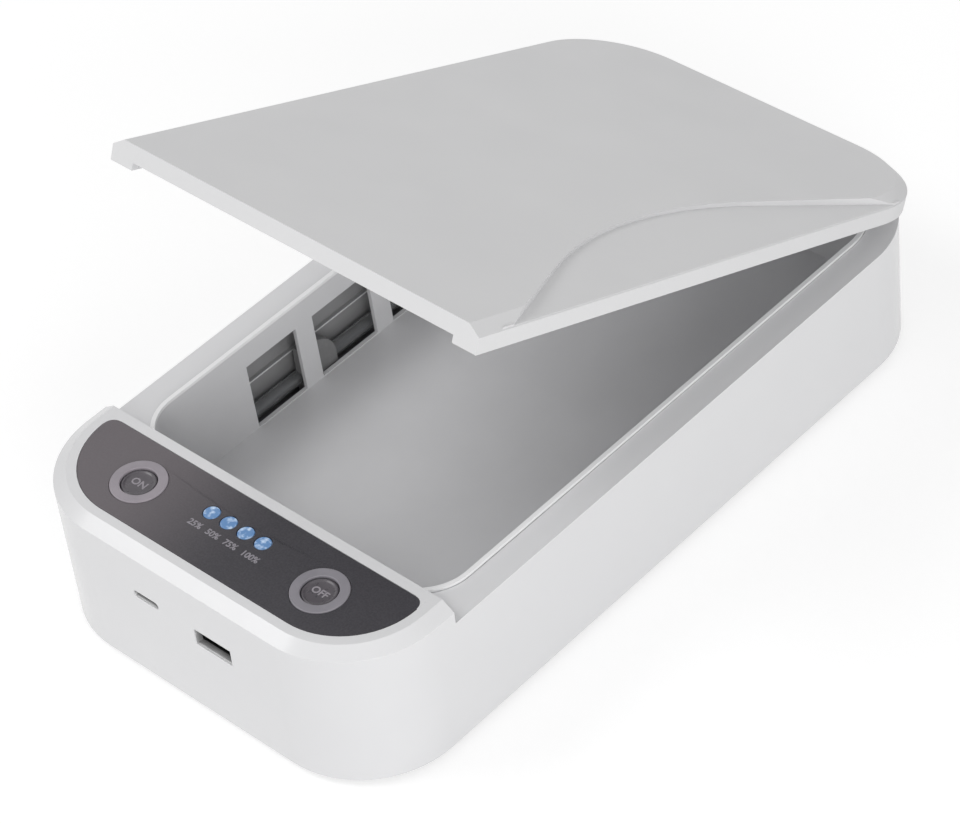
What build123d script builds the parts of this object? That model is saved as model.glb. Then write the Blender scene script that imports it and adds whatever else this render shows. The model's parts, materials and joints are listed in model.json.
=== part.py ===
from build123d import *

import os
from math import asin, cos, degrees, hypot, radians, sin, sqrt, tan

os.makedirs("parts", exist_ok=True)

# A phone steriliser box. Millimetres; X is across, Y runs to the rear, Z is up.
# The origin is on the ground under the middle of the box as it stands with its lid open.
# Sketch places are measured from the middle of the case, heights from the ground.

# Case
case_width = 122.0
case_length = 228.0
case_corner = 28.0
case_wall = 2.0
case_bottom = 1.4
bottom_edge = 0.6
ledge_top = 40.45
ledge_thickness = 2.0

# Front block with the control panel
block_top = 46.6
block_depth = 34.6
rim_bevel_width = 3.6
rim_bevel_height = 2.4
deck_thickness = 2.0
panel_thickness = 1.0
panel_side_margin = 2.75
panel_rear_margin = 3.1
panel_front_corner = 22.0
panel_clearance = 0.15

# Phone bay, a drafted tray whose lip stands up through the ledge
bay_side_ledge = 9.25
bay_front_corner = 14.0
bay_rear_corner = 18.75
bay_floor = 12.2
tray_draft = 2.8
tray_wall = 1.2
tray_floor_thickness = 1.5
tray_lip = 0.8
tray_clearance = 0.15
tray_flange_width = 3.2
tray_flange_thickness = 1.2
tray_flange_overrun = 20.35
tray_post_radius = 3.5
tray_post_inset = 13.75
tray_post_front = 21.4
tray_post_rear = 20.75
tray_boss_height = 2.0
tray_screw_grip = 2.6

# Windows in both long walls of the tray
window_bottom = 12.5
window_top = 33.5
end_window_length = 18.7
middle_window_length = 21.5
window_post = 6.3
window_row_shift = -2.425

# Lid, measured shut
lid_gap = 0.3
lid_front_gap = 0.8
flange_width = 7.5
flange_depth = 6.8
front_lip_height = 4.73
lid_plate = 2.0
lid_wall = 2.2
lid_bevel_width = 3.6
lid_bevel_height = 2.4
liner_clearance = 0.15
liner_plate = 1.0
lid_rib = 1.2
lid_rib_depth = 1.3
lid_rib_pitch = 30.0
lid_rib_count = 5
lid_rib_length = 60.0

# Sunk facet on the right of the lid: two straight runs joined by one wide arc
facet_width = 33.9
facet_apex_shift = -10.1
facet_front_inset = 11.1
facet_rear_inset = 22.4
facet_arc_radius = 102.0
facet_slope_width = 24.4
facet_depth = 0.9
facet_edge_depth = 2.1
facet_plate = 1.4
facet_pad_margin = 1.6

# Hinge
hinge_inset = 4.5
hinge_height = 36.7
lid_rest_angle = 23.2
pin_radius = 1.0
pin_fit = 0.02
lug_fit = 0.05
lug_x = 28.0
lug_width = 8.0
lug_radius = 3.0
lug_side_gap = 0.4
knuckle_width = 4.4
hinge_relief = 0.4
hinge_drop = 0.5

# Bottom cover and feet
cover_thickness = 2.0
cover_clearance = 0.15
cover_rib = 1.2
cover_rib_height = 1.6
cover_rib_pitch = 23.0
cover_rib_count = 6
foot_radius = 5.0
foot_side_inset = 21.0
foot_end_inset = 22.0

# Buttons
button_side_inset = 29.35
button_front_inset = 18.7
ring_radius = 7.55
ring_bore = 4.9
ring_proud = 0.3
ring_clearance = 0.1
cap_clearance = 0.2
cap_sunk = 0.2
button_lift_gap = 0.3
button_flange_radius = 6.6
button_flange = 1.2
button_travel = 0.6
plunger_size = 3.0
plunger_depth = 1.2
plunger_clearance = 0.1
tact_size = 6.0
tact_height = 3.4

# Status lights
light_radius = 2.2
light_pitch = 5.97
light_front_inset = 22.1
light_count = 4
light_clearance = 0.2
light_bridge = 1.5
light_guide = 3.4
light_bridge_overhang = 0.9
light_gap = 0.5
led_size = 2.8
led_height = 1.2

# Main board and its sockets
micro_x = -13.3
micro_z = 31.0
micro_width = 7.5
micro_height = 2.6
micro_depth = 5.6
micro_shell = 0.3
micro_tongue_height = 0.6
micro_tongue_gap = 0.7
usb_x = 10.0
usb_z = 28.7
usb_width = 13.1
usb_height = 5.7
usb_depth = 14.0
usb_shell = 0.3
usb_tongue_height = 1.9
usb_tongue_gap = 0.9
usb_leg = 0.6
port_clearance = 0.1
socket_wall_gap = 0.1
board_thickness = 1.6
board_side_reach = 12.35
board_depth = 27.0
board_corner = 12.0
board_wall_gap = 1.5
board_screw_side = 7.85
board_screw_row = 8.7
board_boss_radius = 3.0
reed_length = 14.0
reed_size = 2.4
reed_x = -22.0
reed_edge = 2.0

# Lamp supply in the bottom of the block
ballast_width = 60.0
ballast_depth = 24.0
ballast_front_inset = 17.0
ballast_lift = 2.6
ballast_screw_inset = 3.5
ballast_post_radius = 2.5
transformer_width = 16.0
transformer_depth = 13.0
transformer_height = 10.0
transformer_x = -12.0
capacitor_radius = 3.0
capacitor_height = 8.0
capacitor_columns = (8.0, 17.0)

# Lamps beside the phone bay
lamp_radius = 2.0
lamp_inset = 4.1
lamp_z = 13.5
lamp_fit = 0.05
holder_length = 4.0
holder_gap = 2.6
holder_height = 17.5
holder_depth = 6.8
holder_outer_gap = 0.2
holder_socket = 2.8
reflector_thickness = 0.4
reflector_inset = 0.8
reflector_step = 1.0
reflector_fold_z = 21.5
reflector_floor_z = 6.2
reflector_depth = 5.6
reflector_bend = 2.9
clip_overlap = 0.3
clip_front = 1.0
clip_rear = 7.5
clip_height = 24.0
clip_round = 9.0

# Fasteners. They, their holes and other small hidden rounds get few flat sides, which
# keeps the model light.
few_sides = 8
case_screw_radius = 1.3
case_screw_head = 2.2
case_screw_head_height = 1.0
case_screw_grip = 6.0
case_boss_radius = 3.0
front_boss_radius = 3.5
front_boss_side_inset = 7.5
front_boss_inset = 24.0
rear_boss_reach = 23.2
rear_boss_inset = 4.9
small_screw_radius = 1.0
small_screw_head = 1.9
small_screw_head_height = 1.1
board_screw_length = 6.0
ballast_screw_length = 3.2
lid_screw_length = 2.8
lid_screw_side_inset = 5.0
lid_screw_front_inset = 8.6
lid_screw_reach = 23.1
lid_screw_turn = 20.0
lid_boss_radius = 2.1
screw_hole_clearance = 0.2
pilot_clearance = 0.03
end_clearance = 0.3
magnet_length = 10.0
magnet_width = 5.0
magnet_height = 1.4
magnet_side_inset = 21.0
magnet_front_inset = 10.6
magnet_rim = 1.0

# Places worked out from the sizes above
case_front = -case_length / 2
case_rear = case_length / 2
inner_half = case_width / 2 - case_wall
ledge_bottom = ledge_top - ledge_thickness
block_rear = case_front + block_depth
panel_bottom = block_top - panel_thickness
deck_bottom = panel_bottom - deck_thickness
cover_top = case_bottom + cover_thickness
lip_top = ledge_top + tray_lip
tray_bottom = bay_floor - tray_floor_thickness
bay_half = case_width / 2 - bay_side_ledge
bay_front = block_rear
bay_rear = case_rear - bay_side_ledge
board_bottom = micro_z + micro_height / 2
board_top = board_bottom + board_thickness
board_front = case_front + case_wall + board_wall_gap
front_inner = case_front + case_wall
lid_bottom = ledge_top + lid_gap
lid_top = lid_bottom + flange_depth
lid_front = block_rear + lid_front_gap
lid_plate_bottom = lid_top - lid_plate
liner_ceiling = lid_top - front_lip_height
liner_top = liner_ceiling + liner_plate
hinge_y = case_rear - hinge_inset
lid_length = case_rear - lid_front
tray_post_x = bay_half - tray_post_inset
facet_apex_x = case_width / 2 - facet_width
facet_apex_y = (lid_front + case_rear) / 2 + facet_apex_shift
facet_front_y = lid_front + facet_front_inset
facet_rear_y = case_rear - facet_rear_inset
facet_inner_x = case_width / 2 - facet_slope_width
foot_x = case_width / 2 - foot_side_inset
foot_y = case_length / 2 - foot_end_inset
button_x = case_width / 2 - button_side_inset
button_y = case_front + button_front_inset
light_y = case_front + light_front_inset
ballast_y = case_front + ballast_front_inset
lamp_x = inner_half - lamp_inset
holder_inner_x = inner_half - holder_depth
reflector_x = inner_half - reflector_inset
reflector_inner_x = reflector_x - reflector_depth
clip_outer_x = lamp_x + clip_overlap
front_boss_x = inner_half - front_boss_side_inset
front_boss_y = case_front + front_boss_inset
magnet_x = magnet_side_inset - case_width / 2
magnet_y = lid_front + magnet_front_inset

# The open lid leans out past the rear of the case by this much, so the case stands forward
# of the origin by half of it.
swing = radians(lid_rest_angle)
bevel_foot = lid_top - lid_bevel_height - hinge_height
lid_overhang = hinge_inset * cos(swing) + bevel_foot * sin(swing) - hinge_inset
case_y = -lid_overhang / 2

hinge_frame = Plane(
    origin=(0, case_y + hinge_y, hinge_height),
    x_dir=(1, 0, 0),
    z_dir=(0, sin(swing), cos(swing)),
)
lug_frame = Plane(
    origin=(0, case_y + hinge_y, hinge_height),
    x_dir=(0, cos(swing), -sin(swing)),
    z_dir=(1, 0, 0),
)
side_frame = Plane(origin=(0, case_y, 0), x_dir=(0, 1, 0), z_dir=(1, 0, 0))
front_frame = Plane(origin=(0, case_y, 0), x_dir=(1, 0, 0), z_dir=(0, -1, 0))


def level(height):
    # A level plane over the middle of the case
    return Plane(origin=(0, case_y, height))


def lid_level(height):
    # The plane that is level at this height when the lid is shut
    return Plane(hinge_frame.location * Location((0, -hinge_y, height - hinge_height)))


def facing_front(y):
    # An upright plane across the case; its normal points to the front
    return front_frame.offset(-y)


def save(name, shape):
    shape.label = name
    export_step(shape, "parts/" + name + ".step")


def case_outline(inset):
    with BuildSketch() as outline:
        RectangleRounded(case_width - 2 * inset, case_length - 2 * inset, case_corner - inset)
    return outline.sketch


def bay_outline(grow):
    with BuildSketch() as outline:
        with Locations((0, (bay_front + bay_rear) / 2)):
            Rectangle(2 * (bay_half + grow), bay_rear - bay_front + 2 * grow)
        fillet(outline.vertices().group_by(Axis.Y)[0], bay_front_corner + grow)
        fillet(outline.vertices().group_by(Axis.Y)[-1], bay_rear_corner + grow)
    return outline.sketch


def lid_outline(inset, front_inset):
    with BuildSketch() as outline:
        with Locations((0, lid_front + front_inset)):
            Rectangle(
                case_width - 2 * inset,
                lid_length - inset - front_inset,
                align=(Align.CENTER, Align.MIN),
            )
        fillet(outline.vertices().group_by(Axis.Y)[-1], case_corner - inset)
    return outline.sketch


def panel_outline(grow):
    with BuildSketch() as outline:
        with Locations((0, block_rear - panel_rear_margin + grow)):
            Rectangle(
                case_width - 2 * (rim_bevel_width + panel_side_margin) + 2 * grow,
                panel_depth + 2 * grow,
                align=(Align.CENTER, Align.MAX),
            )
        fillet(outline.vertices().group_by(Axis.Y)[0], panel_front_corner + grow)
    return outline.sketch


def facet_outline(grow):
    edge_x = case_width / 2 + end_clearance
    with BuildSketch() as outline:
        with BuildLine():
            Polyline(
                (edge_x, facet_front_y),
                (facet_apex_x, facet_apex_y),
                (edge_x, facet_rear_y),
                close=True,
            )
        make_face()
        fillet(outline.vertices().sort_by(Axis.X)[0], facet_arc_radius)
        if grow:
            offset(amount=grow, kind=Kind.INTERSECTION)
    return outline.sketch


panel_depth = block_depth - rim_bevel_width - panel_side_margin - panel_rear_margin
side_screw_angle = radians(45)
rear_boss_x = case_width / 2 - case_corner + rear_boss_reach * cos(side_screw_angle)
rear_boss_corner_y = case_rear - case_corner + rear_boss_reach * sin(side_screw_angle)
rear_boss_places = [
    (-rear_boss_x, rear_boss_corner_y),
    (rear_boss_x, rear_boss_corner_y),
    (0, case_rear - rear_boss_inset),
]
front_boss_places = [(-front_boss_x, front_boss_y), (front_boss_x, front_boss_y)]
case_screw_places = rear_boss_places + front_boss_places
tray_post_rows = (bay_front + tray_post_front, bay_rear - tray_post_rear)
tray_post_places = [(side * tray_post_x, row) for side in (-1, 1) for row in tray_post_rows]
board_screw_x = button_x + board_screw_side
board_screw_places = [
    (side * board_screw_x, button_y - side * board_screw_row) for side in (-1, 1)
]
ballast_screw_x = ballast_width / 2 - ballast_screw_inset
ballast_screw_row = ballast_depth / 2 - ballast_screw_inset
ballast_screw_places = [
    (side * ballast_screw_x, ballast_y + side * ballast_screw_row) for side in (-1, 1)
]
lid_corner_x = case_width / 2 - case_corner + lid_screw_reach * cos(radians(lid_screw_turn))
lid_corner_y = case_rear - case_corner + lid_screw_reach * sin(radians(lid_screw_turn))
lid_screw_places = [
    (lid_screw_side_inset - case_width / 2, lid_front + lid_screw_front_inset),
    (case_width / 2 - lid_screw_side_inset, lid_front + lid_screw_front_inset),
    (-lid_corner_x, lid_corner_y),
    (lid_corner_x, lid_corner_y),
]
button_places = [(-button_x, button_y), (button_x, button_y)]
light_places = [
    ((step - (light_count - 1) / 2) * light_pitch, light_y) for step in range(light_count)
]
light_row = (light_count - 1) * light_pitch + 2 * light_radius
foot_places = {
    "foot_front_left": (-foot_x, -foot_y),
    "foot_front_right": (foot_x, -foot_y),
    "foot_rear_left": (-foot_x, foot_y),
    "foot_rear_right": (foot_x, foot_y),
}
usb_opening_width = usb_width - 2 * usb_shell
usb_opening_height = usb_height - 2 * usb_shell
micro_opening_width = micro_width - 2 * micro_shell
micro_opening_height = micro_height - 2 * micro_shell
notch_half = lug_width / 2 + lug_side_gap
knuckle_half = notch_half + knuckle_width
knuckle_front = bay_rear + tray_wall + 2 * tray_clearance
knuckle_bottom = hinge_height - lug_radius - hinge_drop
relief_radius = hypot(hinge_inset, ledge_top - hinge_height) + hinge_relief

# Base shell: outer walls, front block, ledge, hinge knuckles and screw bosses in one moulding
with BuildPart() as base_shell:
    with BuildSketch(level(case_bottom)):
        add(case_outline(0))
    extrude(amount=ledge_top - case_bottom)
    with BuildSketch(level(ledge_top)):
        add(case_outline(0))
        with Locations((0, block_rear)):
            Rectangle(
                case_width, case_length, align=(Align.CENTER, Align.MIN), mode=Mode.SUBTRACT
            )
    extrude(amount=block_top - ledge_top)
    block_face = base_shell.faces().sort_by(Axis.Z)[-1]
    rim = block_face.edges().sort_by(Axis.Y)[:-1]
    chamfer(rim, length=rim_bevel_width, length2=rim_bevel_height, reference=block_face)
    chamfer(base_shell.faces().sort_by(Axis.Z)[0].edges(), bottom_edge)
    # hollow below the ledge and up into the block
    with BuildSketch(level(case_bottom)):
        add(case_outline(case_wall))
    extrude(amount=ledge_bottom - case_bottom, mode=Mode.SUBTRACT)
    with BuildSketch(level(ledge_bottom)):
        add(case_outline(case_wall))
        with Locations((0, block_rear)):
            Rectangle(
                case_width, case_length, align=(Align.CENTER, Align.MIN), mode=Mode.SUBTRACT
            )
    extrude(amount=lip_top + end_clearance - ledge_bottom, mode=Mode.SUBTRACT)
    with BuildSketch(level(ledge_bottom)):
        add(case_outline(case_wall))
        with Locations((0, block_rear - case_wall)):
            Rectangle(
                case_width, case_length, align=(Align.CENTER, Align.MIN), mode=Mode.SUBTRACT
            )
    extrude(amount=deck_bottom - ledge_bottom, mode=Mode.SUBTRACT)
    with BuildSketch(level(ledge_bottom)):
        add(bay_outline(tray_wall + tray_clearance))
        with Locations((0, block_rear)):
            Rectangle(
                case_width, case_length, align=(Align.CENTER, Align.MAX), mode=Mode.SUBTRACT
            )
    extrude(amount=ledge_thickness, mode=Mode.SUBTRACT)
    # recess for the panel, then the holes through the deck
    with BuildSketch(level(panel_bottom)):
        add(panel_outline(panel_clearance))
    extrude(amount=panel_thickness, mode=Mode.SUBTRACT)
    with BuildSketch(level(deck_bottom)):
        with Locations(*button_places):
            RegularPolygon(ring_bore + ring_clearance, few_sides, major_radius=False)
        with Locations((0, light_y)):
            Rectangle(light_row + 2 * light_clearance, 2 * (light_radius + light_clearance))
    extrude(amount=deck_thickness, mode=Mode.SUBTRACT)
    # bosses for the main board hang from the deck
    with BuildSketch(level(board_top)):
        with Locations(*board_screw_places):
            RegularPolygon(board_boss_radius, few_sides)
    extrude(amount=deck_bottom - board_top)
    # knuckles and notches of the hinge
    with BuildSketch(level(knuckle_bottom)):
        for side in (-1, 1):
            with Locations((side * lug_x, knuckle_front)):
                Rectangle(
                    2 * knuckle_half,
                    case_rear - case_wall / 2 - knuckle_front,
                    align=(Align.CENTER, Align.MIN),
                )
    extrude(amount=ledge_bottom - knuckle_bottom)
    with BuildSketch(level(knuckle_bottom)):
        for side in (-1, 1):
            with Locations((side * lug_x, bay_rear + tray_wall)):
                Rectangle(2 * notch_half, case_corner, align=(Align.CENTER, Align.MIN))
    extrude(amount=ledge_top - knuckle_bottom, mode=Mode.SUBTRACT)
    with BuildSketch(side_frame):
        with Locations((hinge_y, hinge_height)):
            RegularPolygon(pin_radius + pin_fit, few_sides, major_radius=False)
    extrude(amount=lug_x + knuckle_half, both=True, mode=Mode.SUBTRACT)
    # screw bosses for the bottom cover
    with BuildSketch(level(cover_top)):
        with Locations(*rear_boss_places):
            RegularPolygon(case_boss_radius, few_sides)
    extrude(amount=ledge_bottom - cover_top)
    with BuildSketch(level(cover_top)):
        with Locations(*front_boss_places):
            RegularPolygon(front_boss_radius, few_sides)
        for side in (-1, 1):
            with Locations((side * (front_boss_x + inner_half) / 2, front_boss_y)):
                Rectangle(inner_half - front_boss_x + case_wall, cover_rib)
    extrude(amount=deck_bottom - cover_top)
    with BuildSketch(level(cover_top)):
        with Locations(*case_screw_places):
            RegularPolygon(case_screw_radius + pilot_clearance, few_sides, major_radius=False)
    extrude(amount=case_screw_grip + end_clearance, mode=Mode.SUBTRACT)
    with BuildSketch(level(board_top)):
        with Locations(*board_screw_places):
            RegularPolygon(small_screw_radius + pilot_clearance, few_sides, major_radius=False)
    extrude(amount=board_screw_length, mode=Mode.SUBTRACT)
    # openings for the two sockets in the front wall
    with BuildSketch(facing_front(front_inner)):
        with Locations((usb_x, usb_z)):
            Rectangle(
                usb_opening_width + 2 * port_clearance, usb_opening_height + 2 * port_clearance
            )
        with Locations((micro_x, micro_z)):
            SlotOverall(
                micro_opening_width + micro_opening_height, micro_opening_height + 2 * port_clearance
            )
    extrude(amount=case_wall + case_wall, mode=Mode.SUBTRACT)
save("base_shell", base_shell.part)

# Bottom cover: a screwed plate with stiffening ribs and posts for the lamp supply
with BuildPart() as bottom_cover:
    with BuildSketch(level(case_bottom)):
        add(case_outline(case_wall + cover_clearance))
    extrude(amount=cover_thickness)
    with BuildSketch(level(cover_top)):
        with Locations(*ballast_screw_places):
            RegularPolygon(ballast_post_radius, few_sides)
    extrude(amount=ballast_lift)
    with BuildSketch(level(cover_top)):
        with GridLocations(0, cover_rib_pitch, 1, cover_rib_count):
            Rectangle(2 * tray_post_x - 4 * tray_post_radius, cover_rib)
    extrude(amount=cover_rib_height)
    with BuildSketch(level(cover_top)):
        with Locations(*tray_post_places):
            RegularPolygon(tray_post_radius, few_sides)
    extrude(amount=tray_bottom - tray_boss_height - cover_top)
    with BuildSketch(level(case_bottom)):
        with Locations(*case_screw_places, *tray_post_places):
            RegularPolygon(
                case_screw_radius + screw_hole_clearance, few_sides, major_radius=False
            )
    extrude(amount=tray_bottom - case_bottom, mode=Mode.SUBTRACT)
    with BuildSketch(level(case_bottom)):
        with Locations(*case_screw_places, *tray_post_places):
            RegularPolygon(case_screw_head + screw_hole_clearance, few_sides, major_radius=False)
    extrude(amount=case_screw_head_height, mode=Mode.SUBTRACT)
    with BuildSketch(level(cover_top + ballast_lift)):
        with Locations(*ballast_screw_places):
            RegularPolygon(small_screw_radius + pilot_clearance, few_sides, major_radius=False)
    extrude(amount=-ballast_screw_length, mode=Mode.SUBTRACT)
save("bottom_cover", bottom_cover.part)

# Four rubber feet, stuck to the cover
for name, place in foot_places.items():
    with BuildPart() as foot:
        with BuildSketch(level(0)):
            with Locations(place):
                Circle(foot_radius)
        extrude(amount=case_bottom)
    save(name, foot.part)

# Inner tray: the phone bay, with windows for the lamps in its long walls
window_lengths = [end_window_length] + [middle_window_length] * 2 + [end_window_length]
window_row = sum(window_lengths) + window_post * (len(window_lengths) - 1)
window_row_centre = (bay_front + bay_rear) / 2 + window_row_shift
window_starts = [
    window_row_centre - window_row / 2 + sum(window_lengths[:step]) + window_post * step
    for step in range(len(window_lengths))
]
window_height = window_top - window_bottom

with BuildPart() as inner_tray:
    with BuildSketch(level(lip_top)):
        add(bay_outline(tray_wall))
    extrude(amount=tray_bottom - lip_top, taper=tray_draft)
    with BuildSketch(level(lip_top)):
        add(bay_outline(0))
    extrude(amount=bay_floor - lip_top, taper=tray_draft, mode=Mode.SUBTRACT)
    # a flange on each long side seats up against the ledge
    flange_reach = (lip_top - ledge_bottom + tray_flange_thickness) * tan(radians(tray_draft))
    with BuildSketch(level(ledge_bottom)):
        for side in (-1, 1):
            with Locations((side * (bay_half + tray_wall - flange_reach), window_row_centre)):
                Rectangle(
                    tray_flange_width,
                    window_row + 2 * tray_flange_overrun,
                    align=(Align.MIN if side > 0 else Align.MAX, Align.CENTER),
                )
    extrude(amount=-tray_flange_thickness)
    window_middle = (window_bottom + window_top) / 2
    with BuildSketch(side_frame):
        for start, length in zip(window_starts, window_lengths):
            with Locations((start + length / 2, window_middle)):
                Rectangle(length, window_height)
    extrude(amount=bay_half + tray_wall, both=True, mode=Mode.SUBTRACT)
    # short bosses under the floor
    with BuildSketch(level(tray_bottom)):
        with Locations(*tray_post_places):
            RegularPolygon(tray_post_radius, few_sides)
    extrude(amount=-tray_boss_height)
    with BuildSketch(level(tray_bottom - tray_boss_height)):
        with Locations(*tray_post_places):
            RegularPolygon(case_screw_radius + pilot_clearance, few_sides, major_radius=False)
    extrude(amount=tray_screw_grip + end_clearance, mode=Mode.SUBTRACT)
save("inner_tray", inner_tray.part)

# Control panel: a thin dark cover let into the top of the block
with BuildPart() as control_panel:
    with BuildSketch(level(panel_bottom)):
        add(panel_outline(0))
        with Locations(*button_places):
            Circle(ring_radius + ring_clearance, mode=Mode.SUBTRACT)
        with Locations(*light_places):
            Circle(light_radius + light_clearance, mode=Mode.SUBTRACT)
    extrude(amount=panel_thickness)
save("control_panel", control_panel.part)

# Push buttons, each in a guide ring and kept below the deck by its flange, over a switch on
# the main board
flange_top = deck_bottom - button_lift_gap
plunger_top = flange_top - button_flange
tact_top = board_top + tact_height
for side_name, place in zip(("left", "right"), button_places):
    with BuildPart() as ring_guide:
        with BuildSketch(level(panel_bottom)):
            with Locations(place):
                Circle(ring_radius)
                Circle(ring_bore, mode=Mode.SUBTRACT)
        extrude(amount=panel_thickness + ring_proud)
    save(side_name + "_ring_guide", ring_guide.part)

    with BuildPart() as button:
        with BuildSketch(level(flange_top)):
            with Locations(place):
                Circle(ring_bore - cap_clearance)
        extrude(amount=block_top - cap_sunk - flange_top)
        with BuildSketch(level(flange_top)):
            with Locations(place):
                RegularPolygon(button_flange_radius, few_sides)
        extrude(amount=-button_flange)
    save(side_name + "_button", button.part)

    with BuildPart() as plunger:
        with BuildSketch(level(plunger_top)):
            with Locations(place):
                Rectangle(plunger_size, plunger_size)
        extrude(amount=tact_top - plunger_depth - plunger_top)
    save(side_name + "_switch_plunger", plunger.part)

    with BuildPart() as tact_switch:
        with BuildSketch(level(board_top)):
            with Locations(place):
                Rectangle(tact_size, tact_size)
        extrude(amount=tact_height)
        plunger_hole = plunger_size + 2 * plunger_clearance
        with BuildSketch(level(tact_top)):
            with Locations(place):
                Rectangle(plunger_hole, plunger_hole)
        extrude(
            amount=-plunger_depth - button_travel - end_clearance, mode=Mode.SUBTRACT
        )
    save(side_name + "_tact_switch", tact_switch.part)

# Light pipe: four round windows on one bridge, and a square guide down to each light
led_top = board_top + led_height
with BuildPart() as led_light_pipe:
    with BuildSketch(level(deck_bottom)):
        with Locations(*light_places):
            Circle(light_radius)
    extrude(amount=block_top - deck_bottom)
    bridge_reach = 2 * light_bridge_overhang
    with BuildSketch(level(deck_bottom)):
        with Locations((0, light_y)):
            Rectangle(light_row + bridge_reach, 2 * light_radius + bridge_reach)
    extrude(amount=-light_bridge)
    with BuildSketch(level(led_top + light_gap)):
        with Locations(*light_places):
            Rectangle(light_guide, light_guide)
    extrude(amount=deck_bottom - led_top - light_gap)
save("led_light_pipe", led_light_pipe.part)

with BuildPart() as status_leds:
    with BuildSketch(level(board_top)):
        with Locations(*light_places):
            Rectangle(led_size, led_size)
    extrude(amount=led_height)
save("status_leds", status_leds.part)

# Main board, screwed up under the deck, with its sockets below and its switches above
with BuildPart() as main_board:
    with BuildSketch(level(board_bottom)) as board_shape:
        with Locations((0, board_front)):
            Rectangle(
                2 * (button_x + board_side_reach), board_depth, align=(Align.CENTER, Align.MIN)
            )
        fillet(board_shape.vertices().group_by(Axis.Y)[0], board_corner)
        with Locations(*board_screw_places):
            RegularPolygon(
                small_screw_radius + screw_hole_clearance,
                few_sides,
                major_radius=False,
                mode=Mode.SUBTRACT,
            )
    extrude(amount=board_thickness)
save("main_board", main_board.part)

with BuildPart() as reed_switch:
    with BuildSketch(level(board_top)):
        with Locations((reed_x, board_front + board_depth - reed_edge)):
            Rectangle(reed_length, reed_size)
    extrude(amount=reed_size)
save("reed_switch", reed_switch.part)

socket_front = front_inner + socket_wall_gap
with BuildPart() as usb_a_socket:
    with BuildSketch(facing_front(socket_front)):
        with Locations((usb_x, usb_z)):
            Rectangle(usb_width, usb_height)
    extrude(amount=-usb_depth)
    with BuildSketch(facing_front(socket_front)):
        with Locations((usb_x, usb_z)):
            Rectangle(usb_opening_width, usb_opening_height)
    extrude(amount=usb_shell - usb_depth, mode=Mode.SUBTRACT)
    # two legs reach up to the board
    leg_front = board_front + usb_leg
    with BuildSketch(level(usb_z + usb_height / 2)):
        for side in (-1, 1):
            with Locations((usb_x + side * (usb_width - usb_leg) / 2, leg_front)):
                Rectangle(usb_leg, usb_depth / 2, align=(Align.CENTER, Align.MIN))
    extrude(amount=board_bottom - usb_z - usb_height / 2)
save("usb_a_socket", usb_a_socket.part)

with BuildPart() as usb_a_tongue:
    tongue_z = usb_z + usb_opening_height / 2 - usb_tongue_gap - usb_tongue_height / 2
    with BuildSketch(facing_front(socket_front + usb_tongue_gap)):
        with Locations((usb_x, tongue_z)):
            Rectangle(usb_opening_width - 2 * usb_tongue_gap, usb_tongue_height)
    extrude(amount=usb_tongue_gap + usb_shell - usb_depth)
save("usb_a_tongue", usb_a_tongue.part)

with BuildPart() as micro_usb_socket:
    with BuildSketch(facing_front(socket_front)):
        with Locations((micro_x, micro_z)):
            Rectangle(micro_width, micro_height)
    extrude(amount=-micro_depth)
    with BuildSketch(facing_front(socket_front)):
        with Locations((micro_x, micro_z)):
            Rectangle(micro_opening_width, micro_opening_height)
    extrude(amount=micro_shell - micro_depth, mode=Mode.SUBTRACT)
save("micro_usb_socket", micro_usb_socket.part)

with BuildPart() as micro_usb_tongue:
    with BuildSketch(facing_front(socket_front + micro_tongue_gap)):
        with Locations((micro_x, micro_z)):
            Rectangle(micro_opening_width - 2 * micro_tongue_gap, micro_tongue_height)
    extrude(amount=micro_tongue_gap + micro_shell - micro_depth)
save("micro_usb_tongue", micro_usb_tongue.part)

with BuildPart() as board_screws:
    with BuildSketch(level(board_bottom)):
        with Locations(*board_screw_places):
            RegularPolygon(small_screw_head, few_sides)
    extrude(amount=-small_screw_head_height)
    with BuildSketch(level(board_bottom)):
        with Locations(*board_screw_places):
            RegularPolygon(small_screw_radius, few_sides)
    extrude(amount=board_thickness + board_screw_length - end_clearance)
save("board_screws", board_screws.part)

# Lamp supply: a board on posts, its transformer and two capacitors
ballast_bottom = cover_top + ballast_lift
ballast_top = ballast_bottom + board_thickness
with BuildPart() as ballast_board:
    with BuildSketch(level(ballast_bottom)):
        with Locations((0, ballast_y)):
            Rectangle(ballast_width, ballast_depth)
        with Locations(*ballast_screw_places):
            RegularPolygon(
                small_screw_radius + screw_hole_clearance,
                few_sides,
                major_radius=False,
                mode=Mode.SUBTRACT,
            )
    extrude(amount=board_thickness)
save("ballast_board", ballast_board.part)

with BuildPart() as ballast_transformer:
    with BuildSketch(level(ballast_top)):
        with Locations((transformer_x, ballast_y)):
            Rectangle(transformer_width, transformer_depth)
    extrude(amount=transformer_height)
save("ballast_transformer", ballast_transformer.part)

with BuildPart() as ballast_capacitors:
    with BuildSketch(level(ballast_top)):
        with Locations(*[(column, ballast_y) for column in capacitor_columns]):
            RegularPolygon(capacitor_radius, few_sides)
    extrude(amount=capacitor_height)
save("ballast_capacitors", ballast_capacitors.part)

with BuildPart() as ballast_screws:
    with BuildSketch(level(ballast_top)):
        with Locations(*ballast_screw_places):
            RegularPolygon(small_screw_head, few_sides)
    extrude(amount=small_screw_head_height)
    with BuildSketch(level(ballast_top)):
        with Locations(*ballast_screw_places):
            RegularPolygon(small_screw_radius, few_sides)
    extrude(amount=end_clearance - board_thickness - ballast_screw_length)
save("ballast_screws", ballast_screws.part)

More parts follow.
